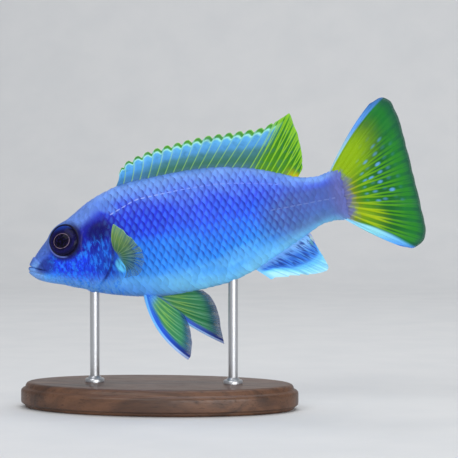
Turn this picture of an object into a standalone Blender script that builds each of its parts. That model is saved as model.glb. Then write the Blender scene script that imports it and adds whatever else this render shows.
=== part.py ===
"""Acei cichlid, a still life-size model held by two rods on an oval wooden base.

The fish is modelled level, nose at the origin and tail towards +X, with its left side on -Y, and is
then tipped nose down on the stand. Metres, +Z up, origin at the centre of the base's underside.
"""

import math

import bmesh
import bpy
from mathutils import Vector

# Driving dimensions. Outlines below are fractions of the standard length, snout to tail fin root.
STANDARD_LENGTH = 0.100
NOSE_DOWN = math.radians(12.0)
GAP = 0.0003
# EXACT loses a thin fin that the body cuts, so these cuts use the other solver.
FIN_SOLVER = "MANIFOLD"

BEND_START = 0.55 * STANDARD_LENGTH
BEND_RADIUS = 0.285

SNOUT_HEIGHT = 0.0445
SNOUT_OFFSET = -0.0411

BASE_LENGTH = 0.088
BASE_WIDTH = 0.048
BASE_HEIGHT = 0.008
BASE_EDGE = 0.0012
ROD_RADIUS = 0.0015
ROD_FRONT_X = -0.0205
ROD_REAR_X = 0.0235

# Side outline of the body, without fins.
BACK = (
    (-0.009, -0.018), (-0.004, -0.007), (0.004, 0.006), (0.025, 0.030), (0.044, 0.048),
    (0.066, 0.067), (0.086, 0.086), (0.108, 0.101), (0.148, 0.120), (0.190, 0.143),
    (0.237, 0.165), (0.284, 0.180), (0.328, 0.190), (0.385, 0.194), (0.480, 0.194),
    (0.584, 0.190), (0.670, 0.178), (0.760, 0.154), (0.830, 0.126), (0.885, 0.102),
    (0.925, 0.091), (0.955, 0.089), (0.980, 0.094), (1.030, 0.104),
)
BELLY = (
    (-0.009, -0.020), (-0.005, -0.027), (0.002, -0.035), (0.017, -0.049), (0.052, -0.066),
    (0.099, -0.083), (0.151, -0.107), (0.229, -0.138), (0.338, -0.168), (0.430, -0.181),
    (0.520, -0.183), (0.600, -0.180), (0.690, -0.160), (0.770, -0.129), (0.848, -0.097),
    (0.889, -0.079), (0.949, -0.058), (0.978, -0.057), (1.030, -0.068),
)
HALF_WIDTH = (
    (-0.009, 0.004), (-0.005, 0.012), (0.002, 0.019), (0.012, 0.0245), (0.030, 0.031),
    (0.055, 0.039), (0.090, 0.052), (0.131, 0.064), (0.190, 0.076), (0.250, 0.084),
    (0.310, 0.088), (0.400, 0.086), (0.500, 0.080), (0.600, 0.070), (0.700, 0.056),
    (0.800, 0.0425), (0.885, 0.031), (0.950, 0.022), (0.990, 0.015), (1.030, 0.012),
)
WIDEST_LEVEL = (
    (-0.009, -0.019), (0.050, -0.010), (0.131, 0.000), (0.300, 0.010), (0.600, 0.005), (1.030, 0.012),
)
# How full the section is above and below its widest level: 2 is an ellipse, more is squarer.
TOP_FULLNESS = (
    (-0.009, 2.0), (0.060, 2.1), (0.131, 2.6), (0.210, 2.1), (0.330, 1.85), (0.900, 1.8), (1.030, 2.0),
)
BELLY_FULLNESS = 2.15

# Edges that part the body into its nodes, seen from the side.
HEAD_REAR_EDGE = (
    (0.250, 0.300), (0.258, 0.170), (0.268, 0.110), (0.280, 0.070), (0.287, 0.030), (0.284, -0.010),
    (0.268, -0.052), (0.240, -0.085), (0.200, -0.114), (0.165, -0.135), (0.150, -0.300),
)
GILL_COVER_EDGE = (
    (0.330, 0.052), (0.280, 0.068), (0.258, 0.079), (0.230, 0.083), (0.206, 0.074), (0.195, 0.040),
    (0.190, 0.000), (0.178, -0.050), (0.160, -0.088), (0.154, -0.106), (0.172, -0.118), (0.210, -0.128),
    (0.330, -0.128),
)
MOUTH_FRONT = (-0.030, 0.012)
MOUTH_CORNER = (0.055, -0.027)
JAW_REAR_EDGE = ((0.080, -0.050), (0.090, -0.075), (0.092, -0.120), (-0.030, -0.120))
TRUNK_END = 0.889
STALK_END = (
    (0.979, 0.120), (0.979, 0.096), (1.003, 0.060), (1.013, 0.015), (1.008, -0.030), (0.998, -0.065),
    (0.998, -0.090),
)

LIP_RADIUS = 0.0095 * STANDARD_LENGTH
LIP_END_SHARE = 0.45
MOUTH_HALF_WIDTH = 0.033 * STANDARD_LENGTH
# Each lip: its height above the mouth line, and the station of its front, in metres.
UPPER_LIP = (0.0011, 0.0012)
LOWER_LIP = (-0.0012, 0.0002)

EYE_PLACE = (0.134, 0.057)
EYE_RADIUS = 0.048 * STANDARD_LENGTH
EYE_BULGE = 0.013 * STANDARD_LENGTH
EYE_DEPTH = 0.032 * STANDARD_LENGTH
EYE_SUNK = 0.0045 * STANDARD_LENGTH
EYE_FACING = Vector((-0.20, -1.0, 0.24)).normalized()
NOSTRIL_PLACE = (0.058, 0.031)
NOSTRIL_RADIUS = 0.006 * STANDARD_LENGTH

GILL_SPAN = (0.09, 0.42)
GILL_COVER_DEPTH = 0.0012
GILL_COVER_RAISE = 0.0002

# Dorsal fin: 17 spines, then 9 soft rays up to the point at its rear.
DORSAL_SPINES = 17
DORSAL_SOFT_RAYS = 9
DORSAL_SPINE_ROOTS = (0.322, 0.745)
DORSAL_SOFT_END = 0.887
DORSAL_TOP = (
    (0.345, 0.226), (0.364, 0.246), (0.410, 0.261), (0.479, 0.272), (0.609, 0.277), (0.735, 0.270),
    (0.805, 0.266), (0.857, 0.279),
)
DORSAL_REAR = (
    (0.880, 0.288), (0.906, 0.297), (0.912, 0.262), (0.918, 0.225), (0.919, 0.180), (0.911, 0.125),
)
DORSAL_LAPPET = 0.006

# Anal fin: 3 spines and 8 soft rays.
ANAL_SPINES = 3
ANAL_SOFT_RAYS = 8
ANAL_ROOTS = (0.696, 0.884)
ANAL_MARGIN = (
    (0.712, -0.176), (0.748, -0.195), (0.797, -0.198), (0.843, -0.204), (0.889, -0.210), (0.913, -0.205),
    (0.917, -0.193), (0.910, -0.162), (0.893, -0.112),
)
ANAL_LAPPET = 0.006

# Tail fin: 16 rays from the rounded end of the tail stalk.
CAUDAL_RAYS = 16
CAUDAL_MARGIN = (
    (1.160, 0.272), (1.199, 0.283), (1.227, 0.263), (1.242, 0.187), (1.248, 0.062), (1.252, -0.060),
    (1.253, -0.126), (1.240, -0.167), (1.203, -0.186), (1.161, -0.172),
)
# Where its rays start, as shares of the stalk's rounded end, and the bow of its first and last ray.
CAUDAL_ROOTS = (0.16, 0.86)
CAUDAL_BOWS = (0.014, -0.010)
CAUDAL_BOW_LEAN = Vector((-0.3, 0.0, 1.0))
CAUDAL_NOTCH = 0.0004

# Paired fins, given for the left side (-Y): where the rays start and where they end.
PECTORAL_RAYS = 13
PECTORAL_ROOT = ((0.296, -0.006), (0.309, -0.052))
PECTORAL_TIPS = (
    (0.328, -0.220, 0.073), (0.377, -0.255, 0.015), (0.406, -0.260, -0.030), (0.374, -0.220, -0.091),
    (0.318, -0.165, -0.095),
)
PECTORAL_SUNK = 0.0010
PELVIC_RAYS = 6
PELVIC_ROOT = ((0.346, -0.026), (0.378, -0.016))
PELVIC_LEFT_TIPS = (
    (0.392, -0.080, -0.315), (0.458, -0.110, -0.385), (0.462, -0.095, -0.361), (0.468, -0.080, -0.333),
    (0.468, -0.065, -0.299), (0.458, -0.050, -0.249),
)
PELVIC_RIGHT_TIPS = (
    (0.540, -0.100, -0.371), (0.539, -0.105, -0.322), (0.543, -0.095, -0.286), (0.541, -0.088, -0.248),
    (0.531, -0.080, -0.214), (0.512, -0.074, -0.189),
)
PELVIC_SUNK = 0.0012

# How far the rays of each fin bow at the middle, as fractions of the standard length.
DORSAL_BOW = Vector((0.006, 0.0, 0.004))
ANAL_BOW = Vector((0.004, 0.0, -0.003))
PECTORAL_BOW = Vector((0.010, -0.012, 0.0))
PELVIC_BOW = Vector((-0.012, -0.008, -0.010))

# Thickness of each fin: a ray at its root and its tip, then the membrane at its root and its tip.
DORSAL_THICKNESS = (0.0013, 0.0007, 0.0008, 0.0005)
ANAL_THICKNESS = (0.0012, 0.0007, 0.0008, 0.0005)
CAUDAL_THICKNESS = (0.0018, 0.0007, 0.0013, 0.0005)
PECTORAL_THICKNESS = (0.0011, 0.0006, 0.0007, 0.0005)
PELVIC_THICKNESS = (0.0014, 0.0007, 0.0009, 0.0005)


def clear_scene():
    for obj in list(bpy.data.objects):
        bpy.data.objects.remove(obj, do_unlink=True)


def new_collection(name):
    collection = bpy.data.collections.new(name)
    bpy.context.scene.collection.children.link(collection)
    return collection


def real(points):
    """Fractions of the standard length as metres."""
    return [tuple(value * STANDARD_LENGTH for value in point) for point in points]


def principled(name, colour, roughness, metallic=0.0):
    material = bpy.data.materials.new(name)
    material.use_nodes = True
    shader = material.node_tree.nodes["Principled BSDF"]
    shader.inputs["Base Color"].default_value = (*colour, 1.0)
    shader.inputs["Roughness"].default_value = roughness
    shader.inputs["Metallic"].default_value = metallic
    return material


def smooth_function(points):
    """A smooth function through (position, value) points that never swings past them."""
    places = [point[0] for point in points]
    values = [point[1] for point in points]
    slopes = [(b - a) / (q - p) for a, b, p, q in zip(values, values[1:], places, places[1:])]
    tangents = [slopes[0]]
    for before, after in zip(slopes, slopes[1:]):
        flat = before * after <= 0
        tangents.append(0.0 if flat else 2 * before * after / (before + after))
    tangents.append(slopes[-1])

    def value_at(place):
        place = min(max(place, places[0]), places[-1])
        k = 0
        while k < len(places) - 2 and place > places[k + 1]:
            k += 1
        span = places[k + 1] - places[k]
        t = (place - places[k]) / span
        start = (1 + 2 * t) * (1 - t) ** 2 * values[k] + t * (1 - t) ** 2 * span * tangents[k]
        end = t * t * (3 - 2 * t) * values[k + 1] + t * t * (t - 1) * span * tangents[k + 1]
        return start + end

    return value_at


def along(points, fraction):
    """The point at a fraction of the way along a smooth line through the given points."""
    knots = [Vector(point) for point in points]
    lengths = [0.0]
    for a, b in zip(knots, knots[1:]):
        lengths.append(lengths[-1] + (b - a).length)
    place = fraction * lengths[-1]
    found = []
    for axis in range(len(knots[0])):
        follow = smooth_function([(length, knot[axis]) for length, knot in zip(lengths, knots)])
        found.append(follow(place))
    return Vector(found)


back = smooth_function(real(BACK))
belly = smooth_function(real(BELLY))
half_width = smooth_function(real(HALF_WIDTH))
widest_level = smooth_function(real(WIDEST_LEVEL))
top_fullness = smooth_function([(x * STANDARD_LENGTH, n) for x, n in TOP_FULLNESS])


def body_point(x, angle, grow=0.0):
    """A point of the skin at station x. Angle 0 is the back, a quarter turn the left side."""
    up = math.cos(angle)
    out = math.sin(angle)
    level = widest_level(x)
    fullness = top_fullness(x) if up >= 0 else BELLY_FULLNESS
    reach = back(x) + grow - level if up >= 0 else level - belly(x) + grow
    z = level + math.copysign(abs(up) ** (2 / fullness), up) * reach
    y = -math.copysign(abs(out) ** (2 / fullness), out) * (half_width(x) + grow)
    return Vector((x, y, z))


def half_width_at(x, z):
    """Half the width of the body at station x and height z."""
    level = widest_level(x)
    fullness = top_fullness(x) if z >= level else BELLY_FULLNESS
    reach = back(x) - level if z >= level else level - belly(x)
    share = min(abs(z - level) / reach, 1.0)
    return half_width(x) * (1 - share**fullness) ** (1 / fullness)


def bent(point):
    """Moves a point of the straight fish to its place on the gently curved tail, which swings to -Y."""
    past = point.x - BEND_START
    if past <= 0:
        return point.copy()
    turn = past / BEND_RADIUS
    x = BEND_START + BEND_RADIUS * math.sin(turn) + point.y * math.sin(turn)
    y = -BEND_RADIUS * (1 - math.cos(turn)) + point.y * math.cos(turn)
    return Vector((x, y, point.z))


def body_stations():
    """Stations along the body, closer together at the snout."""
    snout = [-0.009, -0.0075, -0.005, -0.001, 0.004, 0.011, 0.02, 0.031, 0.044, 0.06, 0.08]
    rest = [0.1 + 0.0295 * k for k in range(32)]
    return [x * STANDARD_LENGTH for x in snout + rest]


def mesh_object(name, mesh, collection):
    obj = bpy.data.objects.new(name, mesh)
    collection.objects.link(obj)
    return obj


def object_from_bmesh(name, bm, collection):
    bmesh.ops.recalc_face_normals(bm, faces=bm.faces)
    mesh = bpy.data.meshes.new(name)
    bm.to_mesh(mesh)
    bm.free()
    return mesh_object(name, mesh, collection)


def body_loft(name, grow, collection, span=(-0.1, 1.1), segments=32):
    """The body without fins as one closed loft, grown or shrunk by a distance, between two stations."""
    bm = bmesh.new()
    rings = []
    start, end = (limit * STANDARD_LENGTH for limit in span)
    for x in [x for x in body_stations() if start <= x <= end]:
        turns = [2 * math.pi * k / segments for k in range(segments)]
        rings.append([bm.verts.new(body_point(x, turn, grow)) for turn in turns])
    for ring, following in zip(rings, rings[1:]):
        for k in range(segments):
            nxt = (k + 1) % segments
            bm.faces.new((ring[k], ring[nxt], following[nxt], following[k]))
    bm.faces.new(rings[0])
    bm.faces.new(rings[-1])
    return object_from_bmesh(name, bm, collection)


def grown_outline(outline, distance):
    """A closed side outline pushed outwards by a distance."""
    area = sum(a[0] * b[1] - b[0] * a[1] for a, b in zip(outline, outline[1:] + outline[:1]))
    side = 1 if area > 0 else -1
    pushed = []
    for before, here, after in zip(outline[-1:] + outline[:-1], outline, outline[1:] + outline[:1]):
        run = Vector((here[0] - before[0], here[1] - before[1])).normalized()
        run += Vector((after[0] - here[0], after[1] - here[1])).normalized()
        run.normalize()
        pushed.append((here[0] + side * run.y * distance, here[1] - side * run.x * distance))
    return pushed


def side_prism(name, outline, collection, near=-0.03, far=0.03):
    """A side outline, given as x and z, made a closed block across the body from near to far along Y."""
    bm = bmesh.new()
    left = [bm.verts.new((x, near, z)) for x, z in outline]
    right = [bm.verts.new((x, far, z)) for x, z in outline]
    count = len(outline)
    for k in range(count):
        nxt = (k + 1) % count
        bm.faces.new((left[k], left[nxt], right[nxt], right[k]))
    bm.faces.new(left)
    bm.faces.new(right)
    return object_from_bmesh(name, bm, collection)


def mesh_from_curve(curve_object, collection):
    """The curve object as a closed mesh object, its caps welded."""
    bpy.context.view_layer.update()
    graph = bpy.context.evaluated_depsgraph_get()
    mesh = bpy.data.meshes.new_from_object(curve_object.evaluated_get(graph))
    bm = bmesh.new()
    bm.from_mesh(mesh)
    bmesh.ops.remove_doubles(bm, verts=bm.verts, dist=1e-6)
    obj = object_from_bmesh(curve_object.name + "_mesh", bm, collection)
    obj.matrix_world = curve_object.matrix_world
    bpy.data.objects.remove(curve_object, do_unlink=True)
    return obj


def tapered_tube(name, points, radius, end_share, collection):
    """A round tube through the points, thinner towards both ends."""
    curve = bpy.data.curves.new(name, "CURVE")
    curve.dimensions = "3D"
    curve.bevel_depth = radius
    curve.bevel_resolution = 2
    curve.use_fill_caps = True
    spline = curve.splines.new("POLY")
    spline.points.add(len(points) - 1)
    last = len(points) - 1
    for k, point in enumerate(points):
        spline.points[k].co = (*point, 1.0)
        middle = math.sin(math.pi * k / last)
        spline.points[k].radius = end_share + (1 - end_share) * middle**0.5
    return mesh_from_curve(mesh_object(name, curve, collection), collection)


def combine(obj, other, operation, solver="EXACT"):
    """Applies one Boolean to the object, with a single other object."""
    modifier = obj.modifiers.new(operation.lower(), "BOOLEAN")
    modifier.operation = operation
    modifier.solver = solver
    modifier.object = other
    apply_modifiers(obj)


def join_all(obj, others):
    """Applies one Boolean union of the object with the others, then removes them."""
    group = bpy.data.collections.new(obj.name + "_pieces")
    for other in others:
        group.objects.link(other)
    modifier = obj.modifiers.new("join", "BOOLEAN")
    modifier.operation = "UNION"
    modifier.operand_type = "COLLECTION"
    modifier.collection = group
    apply_modifiers(obj)
    for other in others:
        bpy.data.objects.remove(other, do_unlink=True)
    bpy.data.collections.remove(group)


def apply_modifiers(obj):
    bpy.context.view_layer.update()
    graph = bpy.context.evaluated_depsgraph_get()
    mesh = bpy.data.meshes.new_from_object(obj.evaluated_get(graph))
    obj.modifiers.clear()
    obj.data = mesh


def keep_largest(obj):
    """Keeps only the largest closed surface of the object."""
    bm = bmesh.new()
    bm.from_mesh(obj.data)
    left = set(bm.verts)
    islands = []
    while left:
        stack = [left.pop()]
        island = set(stack)
        while stack:
            vert = stack.pop()
            for edge in vert.link_edges:
                other = edge.other_vert(vert)
                if other in left:
                    left.discard(other)
                    island.add(other)
                    stack.append(other)
        islands.append(island)
    islands.sort(key=len, reverse=True)
    loose = [vert for island in islands[1:] for vert in island]
    bmesh.ops.delete(bm, geom=loose, context="VERTS")
    bm.to_mesh(obj.data)
    bm.free()


def finish_node(obj, material, pose, bend=True, smooth_angle=40.0):
    """Bends a fish node with the tail, shades it and hangs it on the posed fish."""
    if bend:
        for vert in obj.data.vertices:
            vert.co = bent(vert.co)
    obj.data.materials.clear()
    obj.data.materials.append(material)
    obj.data.shade_smooth()
    obj.data.set_sharp_from_angle(angle=math.radians(smooth_angle))
    obj.parent = pose


def copy_object(obj, name, collection):
    copy = bpy.data.objects.new(name, obj.data.copy())
    collection.objects.link(copy)
    return copy


def cutter(obj):
    obj.hide_render = True
    obj.display_type = "WIRE"
    return obj


def mouth_height(x):
    """Height of the mouth line at station x, in metres."""
    (x0, z0), (x1, z1) = real((MOUTH_FRONT, MOUTH_CORNER))
    return z0 + (x - x0) * (z1 - z0) / (x1 - x0)


def lip_points(rise, front_x, steps=14):
    """A lip's line, from the left corner of the mouth round the front to the right corner."""
    corner_x = MOUTH_CORNER[0] * STANDARD_LENGTH
    points = []
    for k in range(steps + 1):
        turn = math.pi * (k / steps - 0.5)
        x = corner_x - (corner_x - front_x) * math.cos(turn)
        spread = 0.35 + 0.65 * math.cos(turn) ** 0.5
        points.append(Vector((x, MOUTH_HALF_WIDTH * math.sin(turn), mouth_height(x) + rise * spread)))
    return points


def make_lips(collection):
    upper = tapered_tube("upper_lip", lip_points(*UPPER_LIP), LIP_RADIUS, LIP_END_SHARE, collection)
    lower = tapered_tube("lower_lip", lip_points(*LOWER_LIP), LIP_RADIUS, LIP_END_SHARE, collection)
    return [upper, lower]


def side_eye_place(side):
    """Centre of an eye and the way that it faces. Side is -1 for the left and 1 for the right."""
    x, z = (value * STANDARD_LENGTH for value in EYE_PLACE)
    facing = Vector((EYE_FACING.x, -side * EYE_FACING.y, EYE_FACING.z))
    skin = Vector((x, side * half_width_at(x, z), z))
    return skin - facing * EYE_SUNK, facing


def eyeball(name, side, grow, collection, segments=22, rings=10):
    """An eyeball, flatter on the outside than behind, in its place on the head."""
    bm = bmesh.new()
    bmesh.ops.create_uvsphere(bm, u_segments=segments, v_segments=rings, radius=1.0)
    for vert in bm.verts:
        depth = EYE_BULGE if vert.co.z > 0 else EYE_DEPTH
        vert.co.x *= EYE_RADIUS + grow
        vert.co.y *= EYE_RADIUS + grow
        vert.co.z *= depth + grow
    centre, facing = side_eye_place(side)
    turn = facing.to_track_quat("Z", "Y")
    bmesh.ops.rotate(bm, verts=bm.verts, matrix=turn.to_matrix())
    bmesh.ops.translate(bm, verts=bm.verts, vec=centre)
    return object_from_bmesh(name, bm, collection)


def nostril_cutter(name, side, collection):
    x, z = (value * STANDARD_LENGTH for value in NOSTRIL_PLACE)
    bm = bmesh.new()
    bmesh.ops.create_uvsphere(bm, u_segments=10, v_segments=6, radius=NOSTRIL_RADIUS)
    bmesh.ops.translate(bm, verts=bm.verts, vec=(x, side * half_width_at(x, z), z))
    return object_from_bmesh(name, bm, collection)


def side_name(side):
    return "left" if side < 0 else "right"


def head_outline():
    return real(HEAD_REAR_EDGE + ((-0.100, -0.300), (-0.100, 0.300)))


def gill_block(name, outline, side, collection):
    near, far = (-0.03, -0.0005) if side < 0 else (0.0005, 0.03)
    return side_prism(name, outline, collection, near, far)


def make_gill_cover(side, head_block, core, pose, material, parts, cutters):
    """The gill cover: a plate of the body's own surface, raised a little over the flank."""
    name = "gill_cover_" + side_name(side)
    cover = body_loft(name, GILL_COVER_RAISE, parts)
    block = gill_block(name + "_block", real(GILL_COVER_EDGE), side, cutters)
    combine(cover, block, "INTERSECT")
    combine(cover, head_block, "INTERSECT")
    combine(cover, core, "DIFFERENCE")
    keep_largest(cover)
    finish_node(cover, material, pose)
    bpy.data.objects.remove(block, do_unlink=True)


def gill_recess(side, collection):
    """The room that a gill cover needs in the head, with the gap round it."""
    name = "gill_recess_" + side_name(side)
    recess = gill_block(name, grown_outline(real(GILL_COVER_EDGE), GAP), side, collection)
    inner = body_loft(name + "_core", -GILL_COVER_DEPTH - GAP, collection, GILL_SPAN)
    combine(recess, inner, "DIFFERENCE")
    bpy.data.objects.remove(inner, do_unlink=True)
    return recess


def make_head(whole, head_block, jaw_outline, pose, material, parts, cutters):
    """Skull, snout and upper lip, with sockets for the eyes and room for the gill covers and the jaw."""
    head = copy_object(whole, "head", parts)
    combine(head, head_block, "INTERSECT")
    removed = [side_prism("jaw_room", grown_outline(jaw_outline, GAP), cutters)]
    for side in (-1, 1):
        removed.append(gill_recess(side, cutters))
        removed.append(eyeball("socket_" + side_name(side), side, GAP, cutters))
        removed.append(nostril_cutter("nostril_" + side_name(side), side, cutters))
    for tool in removed:
        combine(head, tool, "DIFFERENCE")
        bpy.data.objects.remove(tool, do_unlink=True)
    keep_largest(head)
    finish_node(head, material, pose)


def make_lower_jaw(whole, jaw_outline, pose, material, parts, cutters):
    jaw = copy_object(whole, "lower_jaw", parts)
    block = side_prism("jaw_block", jaw_outline, cutters)
    combine(jaw, block, "INTERSECT")
    bpy.data.objects.remove(block, do_unlink=True)
    keep_largest(jaw)
    finish_node(jaw, material, pose)


def make_eye(side, pose, material, parts):
    eye = eyeball("eye_" + side_name(side), side, 0.0, parts)
    finish_node(eye, material, pose)


def make_trunk(pose, material, parts, cutters):
    """The scaled body from the gill openings to the end of the dorsal and anal fins."""
    trunk = body_loft("trunk", 0.0, parts)
    front = side_prism("trunk_front", grown_outline(head_outline(), GAP), cutters)
    combine(trunk, front, "DIFFERENCE")
    end = TRUNK_END * STANDARD_LENGTH - GAP / 2
    block = side_prism("trunk_end", [(-0.02, -0.05), (end, -0.05), (end, 0.05), (-0.02, 0.05)], cutters)
    combine(trunk, block, "INTERSECT")
    for tool in (front, block):
        bpy.data.objects.remove(tool, do_unlink=True)
    keep_largest(trunk)
    finish_node(trunk, material, pose)


def stalk_edge(share, gap=0.0):
    """A point of the tail stalk's rounded end, from its top at 0 to its bottom at 1."""
    x, z = along(real(STALK_END), share)
    return Vector((x + gap, 0.0, z))


def make_tail_stalk(pose, material, parts, cutters):
    stalk = body_loft("tail_stalk", 0.0, parts)
    start = TRUNK_END * STANDARD_LENGTH + GAP / 2
    edge = [stalk_edge(k / 14) for k in range(15)]
    outline = [(start, 0.05)] + [(point.x, point.z) for point in edge] + [(start, -0.05)]
    block = side_prism("stalk_block", outline, cutters)
    combine(stalk, block, "INTERSECT")
    bpy.data.objects.remove(block, do_unlink=True)
    keep_largest(stalk)
    finish_node(stalk, material, pose)


def fin_positions(rays, edge=0.24):
    """Places across a fin, in rays: each ray, and the two edges of the membrane between it and the next."""
    places = []
    for k in range(rays - 1):
        places += [float(k), k + edge, k + 1 - edge]
    return places + [float(rays - 1)]


def ray_line(root, tip, bow, rows):
    """Points from root to tip, bowed sideways by a vector at the middle."""
    points = []
    for k in range(rows + 1):
        t = k / rows
        points.append(root.lerp(tip, t) + bow * (4 * t * (1 - t)))
    return points


def lengthened(root, tip, amount):
    """The tip moved out along its own ray, so that no ray crosses the next one."""
    return tip + (tip - root).normalized() * amount


def fin_sheet(name, columns, thickness, collection):
    """A sheet through the columns of points, split into triangles and given its thickness by Solidify.

    thickness(place across in columns, share of the way to the tip) is in metres.
    """
    bm = bmesh.new()
    group = bm.verts.layers.deform.verify()
    most = max(max(thickness(i, 0.0), thickness(i, 1.0)) for i in range(len(columns)))
    grid = []
    for i, line in enumerate(columns):
        verts = [bm.verts.new(point) for point in line]
        for j, vert in enumerate(verts):
            vert[group][0] = thickness(i, j / (len(line) - 1)) / most
        grid.append(verts)
    for before, after in zip(grid, grid[1:]):
        for j in range(len(before) - 1):
            bm.faces.new((before[j], before[j + 1], after[j + 1]))
            bm.faces.new((before[j], after[j + 1], after[j]))
    mesh = bpy.data.meshes.new(name)
    bm.to_mesh(mesh)
    bm.free()
    sheet = mesh_object(name, mesh, collection)
    sheet.vertex_groups.new(name="thickness")
    solidify = sheet.modifiers.new("thickness", "SOLIDIFY")
    solidify.thickness = most
    solidify.offset = 0.0
    solidify.vertex_group = "thickness"
    solidify.use_rim = True
    apply_modifiers(sheet)
    return sheet


def ridged(sizes):
    """Thickness of a fin whose rays stand up as ridges from the membrane between them."""
    root_ray, tip_ray, root_web, tip_web = sizes

    def thickness(column, share):
        ray = column % 3 == 0
        start, end = (root_ray, tip_ray) if ray else (root_web, tip_web)
        return start + (end - start) * share

    return thickness


def between(pair, share):
    return pair[0] + (pair[1] - pair[0]) * share


def dorsal_line(place, rows):
    """One line of the dorsal fin, from the back to the margin. Place counts rays from the front."""
    last_spine = DORSAL_SPINES - 1
    lappet = 0.0
    if place <= last_spine:
        share = place / last_spine
        root_x = between(DORSAL_SPINE_ROOTS, share)
        tip = along(DORSAL_TOP, share)
        if place > 0:
            lappet = DORSAL_LAPPET if place % 1 < 0.5 else -DORSAL_LAPPET
    else:
        share = (place - last_spine) / DORSAL_SOFT_RAYS
        root_x = between((DORSAL_SPINE_ROOTS[1], DORSAL_SOFT_END), share)
        tip = along((DORSAL_TOP[-1],) + DORSAL_REAR, share)
    root_x *= STANDARD_LENGTH
    root = Vector((root_x, 0.0, back(root_x) + GAP))
    tip = Vector((tip.x, 0.0, tip.y)) * STANDARD_LENGTH
    tip = lengthened(root, tip, lappet * STANDARD_LENGTH)
    return ray_line(root, tip, DORSAL_BOW * STANDARD_LENGTH, rows)


def make_dorsal_fin(pose, material, parts):
    places = fin_positions(DORSAL_SPINES + DORSAL_SOFT_RAYS)
    columns = [dorsal_line(place, 3) for place in places]
    fin = fin_sheet("dorsal_fin", columns, ridged(DORSAL_THICKNESS), parts)
    finish_node(fin, material, pose)


def anal_line(place, rows):
    rays = ANAL_SPINES + ANAL_SOFT_RAYS
    share = place / (rays - 1)
    root_x = between(ANAL_ROOTS, share) * STANDARD_LENGTH
    tip = along(ANAL_MARGIN, share)
    lappet = 0.0
    if 0 < place < ANAL_SPINES:
        lappet = ANAL_LAPPET if place % 1 < 0.5 else -ANAL_LAPPET
    root = Vector((root_x, 0.0, belly(root_x) - GAP))
    tip = Vector((tip.x, 0.0, tip.y)) * STANDARD_LENGTH
    tip = lengthened(root, tip, lappet * STANDARD_LENGTH)
    return ray_line(root, tip, ANAL_BOW * STANDARD_LENGTH, rows)


def make_anal_fin(pose, material, parts):
    places = fin_positions(ANAL_SPINES + ANAL_SOFT_RAYS)
    columns = [anal_line(place, 4) for place in places]
    fin = fin_sheet("anal_fin", columns, ridged(ANAL_THICKNESS), parts)
    finish_node(fin, material, pose)


def caudal_line(place, rows):
    share = place / (CAUDAL_RAYS - 1)
    root = stalk_edge(between(CAUDAL_ROOTS, share), GAP)
    tip = along(CAUDAL_MARGIN, share)
    tip = Vector((tip.x, 0.0, tip.y)) * STANDARD_LENGTH
    if place % 1 > 0:
        tip += (root - tip).normalized() * CAUDAL_NOTCH
    bow = CAUDAL_BOW_LEAN * between(CAUDAL_BOWS, share) * STANDARD_LENGTH
    return ray_line(root, tip, bow, rows)


def make_caudal_fin(pose, material, parts):
    columns = [caudal_line(place, 7) for place in fin_positions(CAUDAL_RAYS)]
    fin = fin_sheet("caudal_fin", columns, ridged(CAUDAL_THICKNESS), parts)
    finish_node(fin, material, pose)


def paired_fin(name, side, roots, tips, rays, sunk, bow, rows, thickness, parts):
    """A pectoral or pelvic fin from points on the skin to its tips, which are given for the left side."""
    columns = []
    for place in fin_positions(rays):
        share = place / (rays - 1)
        tip = along(tips, share)
        tip = Vector((tip.x, -side * tip.y, tip.z)) * STANDARD_LENGTH
        root = roots(share, side)
        root -= (tip - root).normalized() * sunk
        bulge = Vector((bow.x, -side * bow.y, bow.z)) * STANDARD_LENGTH
        columns.append(ray_line(root, tip, bulge, rows))
    return fin_sheet(name, columns, thickness, parts)


def pectoral_root(share, side):
    x, z = (between((a, b), share) * STANDARD_LENGTH for a, b in zip(*PECTORAL_ROOT))
    return Vector((x, side * half_width_at(x, z), z))


def pelvic_root(share, side):
    x, y = (between((a, b), share) * STANDARD_LENGTH for a, b in zip(*PELVIC_ROOT))
    level = widest_level(x)
    share_out = abs(y) / half_width(x)
    drop = (level - belly(x)) * (1 - share_out**BELLY_FULLNESS) ** (1 / BELLY_FULLNESS)
    return Vector((x, -side * y, level - drop))


def make_paired_fins(body_room, pose, materials, parts):
    for side, tips in ((-1, PELVIC_LEFT_TIPS), (1, PELVIC_RIGHT_TIPS)):
        name = "pelvic_fin_" + side_name(side)
        fin = paired_fin(
            name, side, pelvic_root, tips, PELVIC_RAYS, PELVIC_SUNK, PELVIC_BOW, 6,
            ridged(PELVIC_THICKNESS), parts,
        )
        combine(fin, body_room, "DIFFERENCE", FIN_SOLVER)
        keep_largest(fin)
        finish_node(fin, materials["pelvic"], pose)
    for side in (-1, 1):
        name = "pectoral_fin_" + side_name(side)
        fin = paired_fin(
            name, side, pectoral_root, PECTORAL_TIPS, PECTORAL_RAYS, PECTORAL_SUNK, PECTORAL_BOW, 4,
            ridged(PECTORAL_THICKNESS), parts,
        )
        combine(fin, body_room, "DIFFERENCE", FIN_SOLVER)
        keep_largest(fin)
        finish_node(fin, materials["pectoral"], pose)


def make_pose():
    """The empty that carries the fish: its snout's place, and the fish tipped nose down."""
    pose = bpy.data.objects.new("fish_pose", None)
    bpy.context.scene.collection.objects.link(pose)
    pose.location = (SNOUT_OFFSET, 0.0, SNOUT_HEIGHT)
    pose.rotation_euler = (0.0, -NOSE_DOWN, 0.0)
    return pose


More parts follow.
